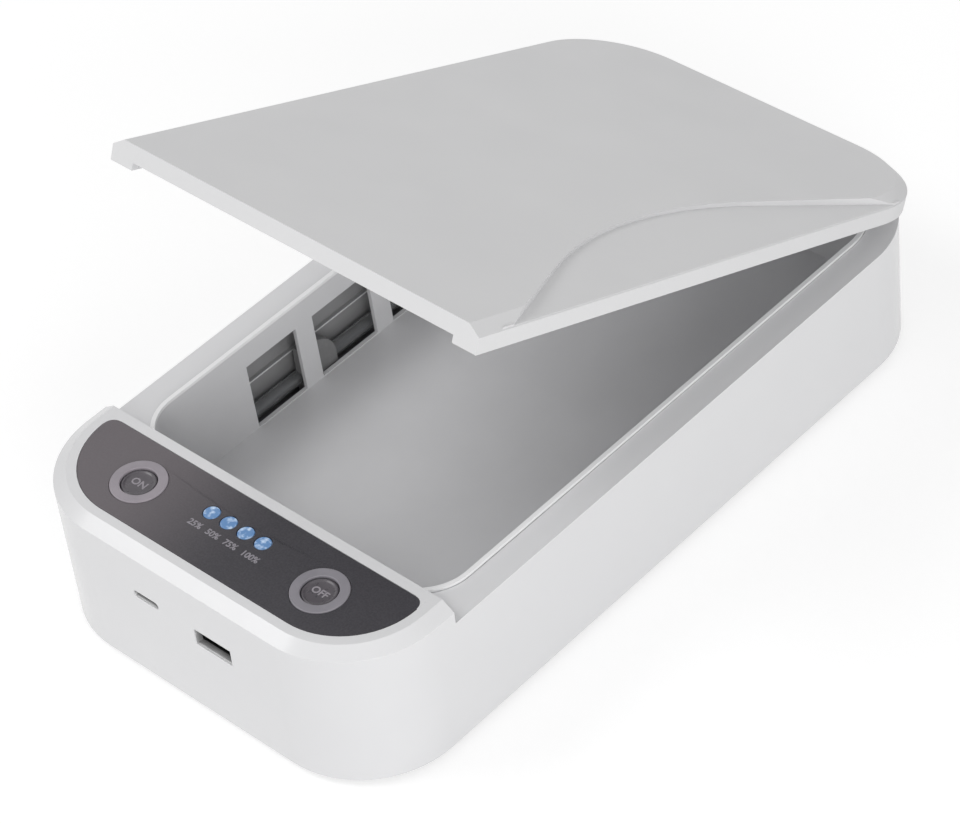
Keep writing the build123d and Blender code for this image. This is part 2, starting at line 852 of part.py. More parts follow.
# Lamps: a quartz tube on each side, its end holders and clips, and the folded reflector behind
holder_front_y = window_starts[0] - holder_gap - holder_length
holder_rear_y = window_starts[-1] + window_lengths[-1] + holder_gap
lamp_front = holder_front_y + holder_length - holder_socket
lamp_rear = holder_rear_y + holder_socket
clip_inner_x = (
    bay_half + tray_wall - (lip_top - clip_height) * tan(radians(tray_draft)) + tray_clearance
)
clip_posts = {
    "front": window_starts[0] + window_lengths[0],
    "rear": window_starts[2] + window_lengths[2],
}


def holder(side, start, socket_start):
    # A block on the cover with a blind socket for one end of the lamp
    holder_outer_x = inner_half - holder_outer_gap
    with BuildPart() as block:
        with BuildSketch(level(cover_top)):
            with Locations((side * (holder_inner_x + holder_outer_x) / 2, start + holder_length / 2)):
                Rectangle(holder_outer_x - holder_inner_x, holder_length)
        extrude(amount=holder_height - cover_top)
        with BuildSketch(facing_front(socket_start)):
            with Locations((side * lamp_x, lamp_z)):
                RegularPolygon(lamp_radius + lamp_fit, few_sides, major_radius=False)
        extrude(amount=-holder_socket - end_clearance, mode=Mode.SUBTRACT)
    return block.part


for side_name, side in (("left", -1), ("right", 1)):
    with BuildPart() as uv_lamp:
        with BuildSketch(facing_front(lamp_front)):
            with Locations((side * lamp_x, lamp_z)):
                Circle(lamp_radius)
        extrude(amount=lamp_front - lamp_rear)
    save(side_name + "_uv_lamp", uv_lamp.part)

    front_holder = holder(side, holder_front_y, lamp_front - end_clearance)
    save(side_name + "_lamp_holder_front", front_holder)
    rear_holder = holder(side, holder_rear_y, holder_rear_y)
    save(side_name + "_lamp_holder_rear", rear_holder)

    # the fold is a small step; below it the sheet turns in under the lamp
    with BuildPart() as reflector:
        with BuildSketch(facing_front(holder_front_y + holder_length)):
            with BuildLine():
                FilletPolyline(
                    (side * reflector_x, ledge_bottom),
                    (side * reflector_x, reflector_fold_z),
                    (side * (reflector_x - reflector_step), reflector_fold_z),
                    (side * reflector_x, reflector_floor_z),
                    (side * reflector_inner_x, reflector_floor_z),
                    radius=(0, 0, reflector_bend),
                )
            trace(line_width=reflector_thickness)
        extrude(amount=holder_front_y + holder_length - holder_rear_y)
    save(side_name + "_reflector", reflector.part)

    for end_name, post in clip_posts.items():
        clip_bottom = reflector_floor_z + reflector_thickness / 2
        with BuildPart() as clip:
            with BuildSketch(side_frame.offset(side * (clip_inner_x + clip_outer_x) / 2)) as plate:
                with Locations((post + clip_front, clip_bottom)):
                    Rectangle(
                        window_post + clip_rear - clip_front,
                        clip_height - clip_bottom,
                        align=(Align.MIN, Align.MIN),
                    )
                outer_corner = plate.vertices().group_by(Axis.Y)[-1].sort_by(Axis.X)[-1]
                fillet(outer_corner, clip_round)
            extrude(amount=(clip_outer_x - clip_inner_x) / 2, both=True)
            with BuildSketch(facing_front(post)):
                with Locations((side * lamp_x, lamp_z)):
                    RegularPolygon(lamp_radius + lamp_fit, few_sides, major_radius=False)
            extrude(amount=-window_post - clip_rear, mode=Mode.SUBTRACT)
        save(side_name + "_lamp_clip_" + end_name, clip.part)

# Screws through the bottom cover, into the case and into the bosses of the tray
screw_seat = case_bottom + case_screw_head_height
for name, places, tip in (
    ("case_screws", case_screw_places, cover_top + case_screw_grip),
    ("tray_screws", tray_post_places, tray_bottom - tray_boss_height + tray_screw_grip),
):
    with BuildPart() as screws:
        with BuildSketch(level(case_bottom)):
            with Locations(*places):
                RegularPolygon(case_screw_head, few_sides)
        extrude(amount=case_screw_head_height)
        with BuildSketch(level(screw_seat)):
            with Locations(*places):
                RegularPolygon(case_screw_radius, few_sides)
        extrude(amount=tip - screw_seat)
    save(name, screws.part)

# The sunk facet of the lid: the space above its floor, and the plate that follows it below
facet_slope = (facet_edge_depth - facet_depth) / (case_width / 2 - facet_inner_x)
facet_tilt = degrees(asin(facet_slope / sqrt(1 + facet_slope**2)))


def facet_plane(depth):
    middle = lid_level(lid_top - depth).location
    return Plane(middle * Location((facet_inner_x, 0, 0), (0, facet_tilt, 0)))


with BuildPart() as facet_space:
    with BuildSketch(lid_level(lid_top)):
        add(facet_outline(0))
    extrude(amount=flange_depth, both=True)
    split(bisect_by=facet_plane(facet_depth), keep=Keep.TOP)

with BuildPart() as facet_pad:
    with BuildSketch(lid_level(lid_plate_bottom + end_clearance)):
        add(facet_outline(facet_pad_margin))
        add(lid_outline(end_clearance, end_clearance), mode=Mode.INTERSECT)
    extrude(amount=-flange_depth)
    split(bisect_by=facet_plane(facet_depth + facet_plate), keep=Keep.TOP)

# Lid shell: plate, bevelled rim, outer wall, screw bosses and the two hinge lugs
with BuildPart() as lid_shell:
    with BuildSketch(lid_level(lid_bottom)):
        add(lid_outline(0, 0))
    extrude(amount=flange_depth)
    top_direction = Axis((0, 0, 0), (0, sin(swing), cos(swing)))
    rear_direction = Axis((0, 0, 0), (0, cos(swing), -sin(swing)))
    lid_face = lid_shell.faces().sort_by(top_direction)[-1]
    lid_rim = lid_face.edges().sort_by(rear_direction)[1:]
    chamfer(lid_rim, length=lid_bevel_width, length2=lid_bevel_height, reference=lid_face)
    with BuildSketch(lid_level(lid_bottom)):
        add(lid_outline(lid_wall, lid_wall))
    extrude(amount=flange_depth - lid_plate, mode=Mode.SUBTRACT)
    # the front wall stops short between the side flanges
    with BuildSketch(lid_level(lid_bottom)):
        with Locations((0, lid_front)):
            Rectangle(
                case_width - 2 * flange_width,
                lid_wall,
                align=(Align.CENTER, Align.MIN),
            )
    extrude(amount=liner_ceiling - lid_bottom, mode=Mode.SUBTRACT)
    with BuildSketch(lid_level(lid_plate_bottom)):
        with GridLocations(0, lid_rib_pitch, 1, lid_rib_count):
            Rectangle(lid_rib_length, lid_rib)
    extrude(amount=-lid_rib_depth)
    add(facet_pad.part)
    with BuildSketch(lid_level(liner_top)):
        with Locations(*lid_screw_places):
            RegularPolygon(lid_boss_radius, few_sides)
    extrude(amount=lid_plate_bottom - liner_top)
    add(facet_space.part, mode=Mode.SUBTRACT)
    # the rear flange is hollowed about the hinge, so that it clears the edge of the case
    with BuildSketch(lug_frame):
        Circle(relief_radius)
    extrude(amount=case_width, both=True, mode=Mode.SUBTRACT)
    for lug_start in (-lug_x - lug_width / 2, lug_x - lug_width / 2):
        with BuildSketch(lug_frame.offset(lug_start)):
            Circle(lug_radius)
            Rectangle(
                2 * lug_radius,
                lid_plate_bottom + end_clearance - hinge_height,
                align=(Align.CENTER, Align.MIN),
            )
        extrude(amount=lug_width)
    with BuildSketch(lug_frame):
        Circle(pin_radius + lug_fit)
    extrude(amount=lug_x + lug_width, both=True, mode=Mode.SUBTRACT)
    with BuildSketch(lid_level(liner_top)):
        with Locations(*lid_screw_places):
            RegularPolygon(small_screw_radius + pilot_clearance, few_sides, major_radius=False)
    extrude(amount=lid_screw_length, mode=Mode.SUBTRACT)
save("lid_shell", lid_shell.part)

# Lid liner: a shallow pan screwed up into the lid; its floor is the ceiling of the phone bay
with BuildPart() as lid_liner:
    liner_inset = lid_wall + liner_clearance
    with BuildSketch(lid_level(lid_bottom)):
        add(lid_outline(liner_inset, liner_inset))
    extrude(amount=liner_top - lid_bottom)
    with BuildSketch(lid_level(lid_bottom)):
        add(lid_outline(flange_width, lid_wall))
    extrude(amount=liner_ceiling - lid_bottom, mode=Mode.SUBTRACT)
    with BuildSketch(lid_level(liner_top)):
        with Locations((magnet_x, magnet_y)):
            seat_length = magnet_length + 2 * screw_hole_clearance
            seat_width = magnet_width + 2 * screw_hole_clearance
            Rectangle(seat_length + 2 * magnet_rim, seat_width + 2 * magnet_rim)
            Rectangle(seat_length, seat_width, mode=Mode.SUBTRACT)
    extrude(amount=magnet_rim)
    with BuildSketch(lug_frame):
        Circle(relief_radius)
    extrude(amount=case_width, both=True, mode=Mode.SUBTRACT)
    with BuildSketch(lid_level(lid_bottom)):
        for side in (-1, 1):
            with Locations((side * lug_x, hinge_y - lug_radius - liner_clearance)):
                Rectangle(
                    lug_width + 2 * liner_clearance, case_corner, align=(Align.CENTER, Align.MIN)
                )
    extrude(amount=flange_depth, mode=Mode.SUBTRACT)
    with BuildSketch(lid_level(lid_bottom)):
        with Locations(*lid_screw_places):
            RegularPolygon(
                small_screw_radius + screw_hole_clearance, few_sides, major_radius=False
            )
    extrude(amount=flange_depth, mode=Mode.SUBTRACT)
    with BuildSketch(lid_level(lid_bottom)):
        with Locations(*lid_screw_places):
            RegularPolygon(
                small_screw_head + screw_hole_clearance, few_sides, major_radius=False
            )
    extrude(amount=small_screw_head_height, mode=Mode.SUBTRACT)
save("lid_liner", lid_liner.part)

with BuildPart() as lid_magnet:
    with BuildSketch(lid_level(liner_top)):
        with Locations((magnet_x, magnet_y)):
            Rectangle(magnet_length, magnet_width)
    extrude(amount=magnet_height)
save("lid_magnet", lid_magnet.part)

with BuildPart() as lid_screws:
    with BuildSketch(lid_level(lid_bottom)):
        with Locations(*lid_screw_places):
            RegularPolygon(small_screw_head, few_sides)
    extrude(amount=small_screw_head_height)
    with BuildSketch(lid_level(lid_bottom)):
        with Locations(*lid_screw_places):
            RegularPolygon(small_screw_radius, few_sides)
    extrude(amount=liner_top + lid_screw_length - end_clearance - lid_bottom)
save("lid_screws", lid_screws.part)

# Hinge pins, one through each lug, held in the knuckles on both sides of it
for side_name, side in (("left", -1), ("right", 1)):
    with BuildPart() as hinge_pin:
        with BuildSketch(lug_frame.offset(side * lug_x - knuckle_half)):
            Circle(pin_radius)
        extrude(amount=2 * knuckle_half)
    save("hinge_pin_" + side_name, hinge_pin.part)
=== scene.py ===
import json
from math import cos, pi, radians, sin

import bmesh
import bpy
from mathutils import Matrix, Vector


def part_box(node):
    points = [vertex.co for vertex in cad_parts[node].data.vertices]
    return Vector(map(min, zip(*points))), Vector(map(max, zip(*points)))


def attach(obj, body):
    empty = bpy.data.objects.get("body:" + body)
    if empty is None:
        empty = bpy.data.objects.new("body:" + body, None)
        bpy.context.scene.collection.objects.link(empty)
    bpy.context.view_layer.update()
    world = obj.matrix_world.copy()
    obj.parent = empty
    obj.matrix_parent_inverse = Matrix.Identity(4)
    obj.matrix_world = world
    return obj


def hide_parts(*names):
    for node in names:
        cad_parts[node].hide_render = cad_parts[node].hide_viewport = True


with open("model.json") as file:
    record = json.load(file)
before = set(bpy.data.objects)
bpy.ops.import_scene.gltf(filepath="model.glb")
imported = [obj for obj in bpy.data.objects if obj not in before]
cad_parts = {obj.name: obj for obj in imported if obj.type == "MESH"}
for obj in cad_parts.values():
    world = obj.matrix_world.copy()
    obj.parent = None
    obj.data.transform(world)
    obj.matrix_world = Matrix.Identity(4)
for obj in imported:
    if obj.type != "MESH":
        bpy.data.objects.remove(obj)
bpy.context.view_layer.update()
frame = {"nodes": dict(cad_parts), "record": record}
nodes = frame["nodes"]
bodyOf = {node: body for body, members in frame["record"]["behaviour"]["bodies"].items() for node in members}
collection = bpy.context.scene.collection
mm = 0.001  # every size below is in metres

camera = {
    "place": (0.517766, -0.490686, 0.674435),
    "turn": (47.0751, 5.3614, 42.0351),  # XYZ, degrees
    "lens": 137.427,
    "sensor": 36.0,
    "shiftX": 0.0020,
    "shiftY": -0.0011,
    "nearest": 0.01,
}
softLights = {  # place, width, height, watts
    "key_softbox": ((1.22, -0.76, 0.50), 0.9, 0.9, 9.8),
    "top_softbox": ((-0.80, -0.68, 1.25), 0.7, 0.7, 6.2),
}
lightsFace = (0, 0, 40 * mm)
surround = {
    "fill": 0.52,  # the room's own light
    "seen": 1.0,  # what the camera, gloss and glass see
    "floorTone": 0.80,  # what it throws back on the box
    "floorGlow": 0.60,  # with floorSeen, how pale it looks
    "floorSeen": 0.52,
    "floorSize": 8.0,
}


def setCamera():
    data = bpy.data.cameras.new("camera")
    data.sensor_width = camera["sensor"]
    data.lens = camera["lens"]
    data.shift_x = camera["shiftX"]
    data.shift_y = camera["shiftY"]
    data.clip_start = camera["nearest"]
    holder = bpy.data.objects.new("camera", data)
    holder.location = camera["place"]
    holder.rotation_euler = [radians(angle) for angle in camera["turn"]]
    collection.objects.link(holder)
    bpy.context.scene.camera = holder


def setLights():
    aim = Vector(lightsFace)
    for name, (place, width, height, watts) in softLights.items():
        data = bpy.data.lights.new(name, "AREA")
        data.shape = "RECTANGLE"
        data.size = width
        data.size_y = height
        data.energy = watts
        lamp = bpy.data.objects.new(name, data)
        lamp.location = place
        lamp.rotation_euler = (aim - Vector(place)).to_track_quat("-Z", "Y").to_euler()
        collection.objects.link(lamp)


def addNode(tree, kind, values=None, **settings):
    node = tree.nodes.new(kind)
    for name, value in settings.items():
        setattr(node, name, value)
    for socket, value in (values or {}).items():
        node.inputs[socket].default_value = value
    return node


def feed(tree, socket, source):
    # the socket takes another's output, or a plain value
    if isinstance(source, bpy.types.NodeSocket):
        tree.links.new(source, socket)
    else:
        socket.default_value = source


def seenDirectly(tree):
    # 1 where the camera, a reflection or glass looks, 0 for light that only bounces
    path = addNode(tree, "ShaderNodeLightPath")
    first = addNode(tree, "ShaderNodeMath", operation="MAXIMUM")
    second = addNode(tree, "ShaderNodeMath", operation="MAXIMUM")
    tree.links.new(path.outputs["Is Camera Ray"], first.inputs[0])
    tree.links.new(path.outputs["Is Glossy Ray"], first.inputs[1])
    tree.links.new(first.outputs[0], second.inputs[0])
    tree.links.new(path.outputs["Is Transmission Ray"], second.inputs[1])
    return second.outputs[0]


def setSurround():
    world = bpy.data.worlds.new("studio")
    world.use_nodes = True
    tree = world.node_tree
    tree.nodes.clear()
    fill = addNode(tree, "ShaderNodeBackground", {"Color": (1, 1, 1, 1), "Strength": surround["fill"]})
    seen = addNode(tree, "ShaderNodeBackground", {"Color": (1, 1, 1, 1), "Strength": surround["seen"]})
    blend = addNode(tree, "ShaderNodeMixShader")
    output = addNode(tree, "ShaderNodeOutputWorld")
    tree.links.new(seenDirectly(tree), blend.inputs[0])
    tree.links.new(fill.outputs[0], blend.inputs[1])
    tree.links.new(seen.outputs[0], blend.inputs[2])
    tree.links.new(blend.outputs[0], output.inputs[0])
    bpy.context.scene.world = world
    bpy.context.scene.view_settings.view_transform = "Standard"

    half = surround["floorSize"] / 2
    mesh = bpy.data.meshes.new("studio_floor")
    corners = [(-half, -half, 0), (half, -half, 0), (half, half, 0), (-half, half, 0)]
    mesh.from_pydata(corners, [], [(0, 1, 2, 3)])
    floor = bpy.data.objects.new("studio_floor", mesh)
    collection.objects.link(floor)
    material = bpy.data.materials.new("pale_floor")
    material.use_nodes = True
    tree = material.node_tree
    tree.nodes.clear()
    tone = surround["floorTone"]
    plain = addNode(tree, "ShaderNodeBsdfDiffuse", {"Color": (tone, tone, tone, 1)})
    shown = surround["floorSeen"]
    caught = addNode(tree, "ShaderNodeBsdfDiffuse", {"Color": (shown, shown, shown, 1)})  # keeps the shadow
    glow = addNode(tree, "ShaderNodeEmission", {"Strength": surround["floorGlow"]})
    pale = addNode(tree, "ShaderNodeAddShader")
    blend = addNode(tree, "ShaderNodeMixShader")
    output = addNode(tree, "ShaderNodeOutputMaterial")
    tree.links.new(caught.outputs[0], pale.inputs[0])
    tree.links.new(glow.outputs[0], pale.inputs[1])
    tree.links.new(seenDirectly(tree), blend.inputs[0])
    tree.links.new(plain.outputs[0], blend.inputs[1])
    tree.links.new(pale.outputs[0], blend.inputs[2])
    tree.links.new(blend.outputs[0], output.inputs[0])
    mesh.materials.append(material)


setCamera()
setLights()
setSurround()
print("camera, lights and floor are set")


plastics = {  # colour, a second tone, how large its clouds are, shine range, size and depth of the grain
    "caseWhite": {"tone": (0.775, 0.775, 0.785), "shade": (0.760, 0.760, 0.772), "cloud": 45 * mm,
                  "rough": (0.23, 0.27), "grain": 7.0 * mm, "depth": 0.018 * mm, "coat": 0.25},
    "lidWhite": {"tone": (0.760, 0.760, 0.767), "shade": (0.744, 0.744, 0.752), "cloud": 60 * mm,
                 "rough": (0.42, 0.50), "grain": 0.5 * mm, "depth": 0.006 * mm, "coat": 0.0},
    "coverWhite": {"tone": (0.72, 0.72, 0.73), "shade": (0.68, 0.68, 0.69), "cloud": 25 * mm,
                   "rough": (0.50, 0.62), "grain": 0.35 * mm, "depth": 0.05 * mm, "coat": 0.0},
    # painted shade: the tray is painted a darker white than the case, standing in for the shade down in the
    # hollow
    "trayWhitePaintedShadeAndHighlight": {"tone": (0.70, 0.70, 0.71), "shade": (0.67, 0.67, 0.68), "cloud": 30 * mm,
                  "rough": (0.34, 0.42), "grain": 5.0 * mm, "depth": 0.020 * mm, "coat": 0.1,
                  # the lip is painted lighter: a painted highlight along it
                  "rim": (0.93, 0.93, 0.935), "rimHighlightHeight": (40.2 * mm, 40.6 * mm)},
    "linerWhite": {"tone": (0.74, 0.74, 0.75), "shade": (0.71, 0.71, 0.72), "cloud": 40 * mm,
                   "rough": (0.36, 0.42), "grain": 6.0 * mm, "depth": 0.004 * mm, "coat": 0.0},
    "ringGrey": {"tone": (0.275, 0.262, 0.290), "shade": (0.245, 0.234, 0.260), "cloud": 9 * mm,
                 "rough": (0.36, 0.46), "grain": 0.5 * mm, "depth": 0.004 * mm, "coat": 0.0},
    # painted light: a lighter copy of ringGrey, standing in for the light on the left ring
    "ringGreyPaintedLighter": {"tone": (0.350, 0.318, 0.350), "shade": (0.315, 0.287, 0.317), "cloud": 9 * mm,
                 "rough": (0.36, 0.46), "grain": 0.5 * mm, "depth": 0.004 * mm, "coat": 0.0},
    "capDark": {"tone": (0.098, 0.088, 0.100), "shade": (0.078, 0.070, 0.081), "cloud": 4 * mm,
                "rough": (0.26, 0.36), "grain": 0.6 * mm, "depth": 0.004 * mm, "coat": 0.1},
    "holderWhite": {"tone": (0.66, 0.66, 0.66), "shade": (0.58, 0.58, 0.58), "cloud": 6 * mm,
                    "rough": (0.45, 0.60), "grain": 0.3 * mm, "depth": 0.02 * mm, "coat": 0.0},
    # painted shade: the white lamp clips are painted dark grey for the shade they sit in inside the bay
    "clipPaintedShadeGrey": {"tone": (0.230, 0.230, 0.232), "shade": (0.190, 0.190, 0.192), "cloud": 5 * mm,
                 "rough": (0.35, 0.48), "grain": 0.4 * mm, "depth": 0.01 * mm, "coat": 0.0},
    "switchBlack": {"tone": (0.030, 0.030, 0.032), "shade": (0.018, 0.018, 0.020), "cloud": 3 * mm,
                    "rough": (0.40, 0.55), "grain": 0.15 * mm, "depth": 0.01 * mm, "coat": 0.0},
    "plungerGrey": {"tone": (0.22, 0.22, 0.22), "shade": (0.17, 0.17, 0.17), "cloud": 3 * mm,
                    "rough": (0.35, 0.50), "grain": 0.2 * mm, "depth": 0.01 * mm, "coat": 0.0},
    "tongueDark": {"tone": (0.016, 0.016, 0.018), "shade": (0.010, 0.010, 0.012), "cloud": 4 * mm,
                   "rough": (0.40, 0.52), "grain": 0.2 * mm, "depth": 0.008 * mm, "coat": 0.0},
    "footRubber": {"tone": (0.055, 0.055, 0.056), "shade": (0.035, 0.035, 0.036), "cloud": 4 * mm,
                   "rough": (0.70, 0.90), "grain": 0.22 * mm, "depth": 0.05 * mm, "coat": 0.0},
    "ledBody": {"tone": (0.72, 0.70, 0.58), "shade": (0.62, 0.60, 0.48), "cloud": 2 * mm,
                "rough": (0.30, 0.45), "grain": 0.2 * mm, "depth": 0.01 * mm, "coat": 0.0},
    "windingDark": {"tone": (0.060, 0.050, 0.040), "shade": (0.035, 0.030, 0.026), "cloud": 4 * mm,
                    "rough": (0.45, 0.65), "grain": 0.4 * mm, "depth": 0.06 * mm, "coat": 0.0},
    "sleeveBlue": {"tone": (0.035, 0.045, 0.085), "shade": (0.024, 0.030, 0.060), "cloud": 4 * mm,
                   "rough": (0.25, 0.40), "grain": 0.3 * mm, "depth": 0.01 * mm, "coat": 0.0},
    "capPrint": {"tone": (0.360, 0.335, 0.365), "shade": (0.290, 0.268, 0.296), "cloud": 0.8 * mm,
                 "rough": (0.50, 0.65), "grain": 0.2 * mm, "depth": 0.002 * mm, "coat": 0.0},
    "panelPrint": {"tone": (0.330, 0.312, 0.345), "shade": (0.250, 0.238, 0.262), "cloud": 0.8 * mm,
                   "rough": (0.50, 0.65), "grain": 0.2 * mm, "depth": 0.002 * mm, "coat": 0.0},
}
# colour, a duller tone, the stretch of the brushing along X, Y, Z, its depth, shine range, how metallic
metals = {
    "socketSteel": {"tone": (0.20, 0.20, 0.205), "dull": (0.14, 0.14, 0.145), "brush": (60, 1400, 1400),
                    "depth": 0.002 * mm, "rough": (0.28, 0.40), "metallic": 1.0},
    "lipSteel": {"tone": (0.38, 0.38, 0.382), "dull": (0.30, 0.30, 0.302), "brush": (60, 1400, 1400),
                 "depth": 0.002 * mm, "rough": (0.32, 0.44), "metallic": 0.50},
    "screwSteel": {"tone": (0.56, 0.56, 0.57), "dull": (0.42, 0.42, 0.43), "brush": (1500, 1500, 300),
                   "depth": 0.003 * mm, "rough": (0.24, 0.42), "metallic": 1.0},
    "magnetNickel": {"tone": (0.68, 0.67, 0.65), "dull": (0.55, 0.54, 0.52), "brush": (400, 400, 400),
                     "depth": 0.003 * mm, "rough": (0.14, 0.28), "metallic": 1.0},
    "contactGold": {"tone": (0.83, 0.60, 0.25), "dull": (0.66, 0.46, 0.18), "brush": (300, 2500, 300),
                    "depth": 0.002 * mm, "rough": (0.18, 0.32), "metallic": 1.0},
    "electrodeGrey": {"tone": (0.42, 0.41, 0.40), "dull": (0.24, 0.23, 0.23), "brush": (900, 900, 900),
                      "depth": 0.004 * mm, "rough": (0.35, 0.60), "metallic": 1.0},
}
noiseRoughness = 0.55
plasticIndex = 1.49
coatRoughness = 0.12
metalStain = 5 * mm


def noiseOn(tree, size, detail=3.0, stretch=None):
    # noise whose lumps are about this large on the piece
    coords = addNode(tree, "ShaderNodeTexCoord")
    mapping = addNode(tree, "ShaderNodeMapping")
    mapping.inputs["Scale"].default_value = stretch or (1 / size, 1 / size, 1 / size)
    noise = addNode(tree, "ShaderNodeTexNoise", {"Scale": 1.0, "Detail": detail, "Roughness": noiseRoughness})
    tree.links.new(coords.outputs["Object"], mapping.inputs["Vector"])
    tree.links.new(mapping.outputs["Vector"], noise.inputs["Vector"])
    return noise.outputs["Fac"]


def placeOn(tree):
    # the place on the object, as X, Y and Z
    coords = addNode(tree, "ShaderNodeTexCoord")
    parts = addNode(tree, "ShaderNodeSeparateXYZ")
    tree.links.new(coords.outputs["Object"], parts.inputs[0])
    return parts.outputs


def ranged(tree, source, low, high, span=(0.35, 0.65), easing="LINEAR"):
    ramp = addNode(tree, "ShaderNodeMapRange", interpolation_type=easing)
    for socket, value in zip(("From Min", "From Max", "To Min", "To Max"), (*span, low, high)):
        ramp.inputs[socket].default_value = value
    tree.links.new(source, ramp.inputs["Value"])
    return ramp.outputs["Result"]


def blended(tree, factor, first, second):
    blend = addNode(tree, "ShaderNodeMix", data_type="RGBA")
    tree.links.new(factor, blend.inputs[0])
    for socket, colour in ((blend.inputs[6], first), (blend.inputs[7], second)):
        feed(tree, socket, (*colour, 1) if isinstance(colour, tuple) else colour)
    return blend.outputs[2]


def bumpOn(tree, shader, height, depth):
    bump = addNode(tree, "ShaderNodeBump", {"Strength": 1.0, "Distance": depth})
    tree.links.new(height, bump.inputs["Height"])
    tree.links.new(bump.outputs["Normal"], shader.inputs["Normal"])


def startMaterial(name):
    material = bpy.data.materials.new(name)
    material.use_nodes = True
    return material, material.node_tree, material.node_tree.nodes["Principled BSDF"]


def makePlastic(name, look):
    material, tree, shader = startMaterial(name)
    clouds = ranged(tree, noiseOn(tree, look["cloud"]), 0, 1)
    colour = blended(tree, clouds, look["tone"], look["shade"])
    # painted highlight: a lighter colour above the rim height
    if "rim" in look:
        rise = ranged(tree, placeOn(tree)["Z"], 0, 1, span=look["rimHighlightHeight"])
        colour = blended(tree, rise, colour, look["rim"])
    tree.links.new(colour, shader.inputs["Base Color"])
    haze = noiseOn(tree, look["cloud"] / 3, detail=5)
    tree.links.new(ranged(tree, haze, *look["rough"]), shader.inputs["Roughness"])
    shader.inputs["Coat Weight"].default_value = look["coat"]
    shader.inputs["Coat Roughness"].default_value = coatRoughness
    shader.inputs["IOR"].default_value = plasticIndex
    bumpOn(tree, shader, noiseOn(tree, look["grain"], detail=2), look["depth"])
    return material


def makeMetal(name, look):
    material, tree, shader = startMaterial(name)
    lines = noiseOn(tree, 1, detail=2, stretch=look["brush"])
    stains = noiseOn(tree, metalStain)
    colour = blended(tree, ranged(tree, stains, 0, 1), look["tone"], look["dull"])
    tree.links.new(colour, shader.inputs["Base Color"])
    tree.links.new(ranged(tree, lines, *look["rough"]), shader.inputs["Roughness"])
    shader.inputs["Metallic"].default_value = look["metallic"]
    bumpOn(tree, shader, lines, look["depth"])
    return material


finishes = {}
for name, look in plastics.items():
    finishes[name] = makePlastic(name, look)
for name, look in metals.items():
    finishes[name] = makeMetal(name, look)

panelLook = {
    "left": (0.126, 0.111, 0.121),
    "right": (0.028, 0.026, 0.033),
    "fade": (-36 * mm, 8 * mm),  # where it turns darker, across the case
    "rough": (0.40, 0.46),
    "haze": 8 * mm,
    "speck": 0.5 * mm,
    "speckTone": (0.30, 0.28, 0.30),
    "speckShare": 0.06,
    "grain": 1.2 * mm,
    "depth": 0.003 * mm,
}


def makePanelDark():
    # a smoked sheet, lighter at its left end and darker at its right
    material, tree, shader = startMaterial("panelDark")
    across = ranged(tree, placeOn(tree)["X"], 0, 1, span=panelLook["fade"], easing="SMOOTHSTEP")
    fade = blended(tree, across, panelLook["left"], panelLook["right"])
    specks = ranged(tree, noiseOn(tree, panelLook["speck"], detail=4), 0, panelLook["speckShare"])
    colour = blended(tree, specks, fade, panelLook["speckTone"])
    tree.links.new(colour, shader.inputs["Base Color"])
    haze = noiseOn(tree, panelLook["haze"])
    tree.links.new(ranged(tree, haze, *panelLook["rough"]), shader.inputs["Roughness"])
    bumpOn(tree, shader, noiseOn(tree, panelLook["grain"], detail=2), panelLook["depth"])
    return material


reflectorLook = {
    "upper": (0.38, 0.38, 0.385),
    "lower": (0.170, 0.170, 0.173),
    "fold": (0.90, 0.90, 0.90),
    "foldHeight": (21.05 * mm, 21.45 * mm),  # where a painted highlight runs along the bend
    "foldBlur": 0.15 * mm,
    "fade": (8.0 * mm, 19.0 * mm),  # painted shade: the sheet is painted darker down beside the lamp
    "wisps": (200, 14, 200),  # stretch along X, Y, Z
    "wispTone": (0.12, 0.12, 0.12),
    "wispShare": 0.10,
    "depth": 0.0006 * mm,
    "rough": (0.46, 0.54),
    "metallic": 0.35,
}


def makeReflectorSheet():
    material, tree, shader = startMaterial("reflectorMetal")
    height = placeOn(tree)["Z"]
    wisps = noiseOn(tree, 1, detail=3, stretch=reflectorLook["wisps"])
    # painted shade: the sheet darkens towards its bottom
    fade = ranged(tree, height, 0, 1, span=reflectorLook["fade"], easing="SMOOTHSTEP")
    shadedSheet = blended(tree, fade, reflectorLook["lower"], reflectorLook["upper"])
    # painted highlight: a thin light band along the bend
    low, high = reflectorLook["foldHeight"]
    blur = reflectorLook["foldBlur"]
    above = ranged(tree, height, 0, 1, span=(low - blur, low))
    below = ranged(tree, height, 1, 0, span=(high, high + blur))
    highlightBand = addNode(tree, "ShaderNodeMath", operation="MULTIPLY")
    tree.links.new(above, highlightBand.inputs[0])
    tree.links.new(below, highlightBand.inputs[1])
    folded = blended(tree, highlightBand.outputs[0], shadedSheet, reflectorLook["fold"])
    share = ranged(tree, wisps, 0, reflectorLook["wispShare"])
    streaked = blended(tree, share, folded, reflectorLook["wispTone"])
    tree.links.new(streaked, shader.inputs["Base Color"])
    tree.links.new(ranged(tree, wisps, *reflectorLook["rough"]), shader.inputs["Roughness"])
    shader.inputs["Metallic"].default_value = reflectorLook["metallic"]
    bumpOn(tree, shader, wisps, reflectorLook["depth"])
    return material


lightLook = {
    "blue": (0.130, 0.262, 0.500),
    # pale is the colour of the painted glints
    "pale": (0.58, 0.72, 0.90),
    "glintSize": 1.7 * mm,
    "glintSpan": (0.46, 0.70),
    "glow": 0.16,
    "rough": 0.15,
    "grain": 0.8 * mm,
    "depth": 0.02 * mm,
}


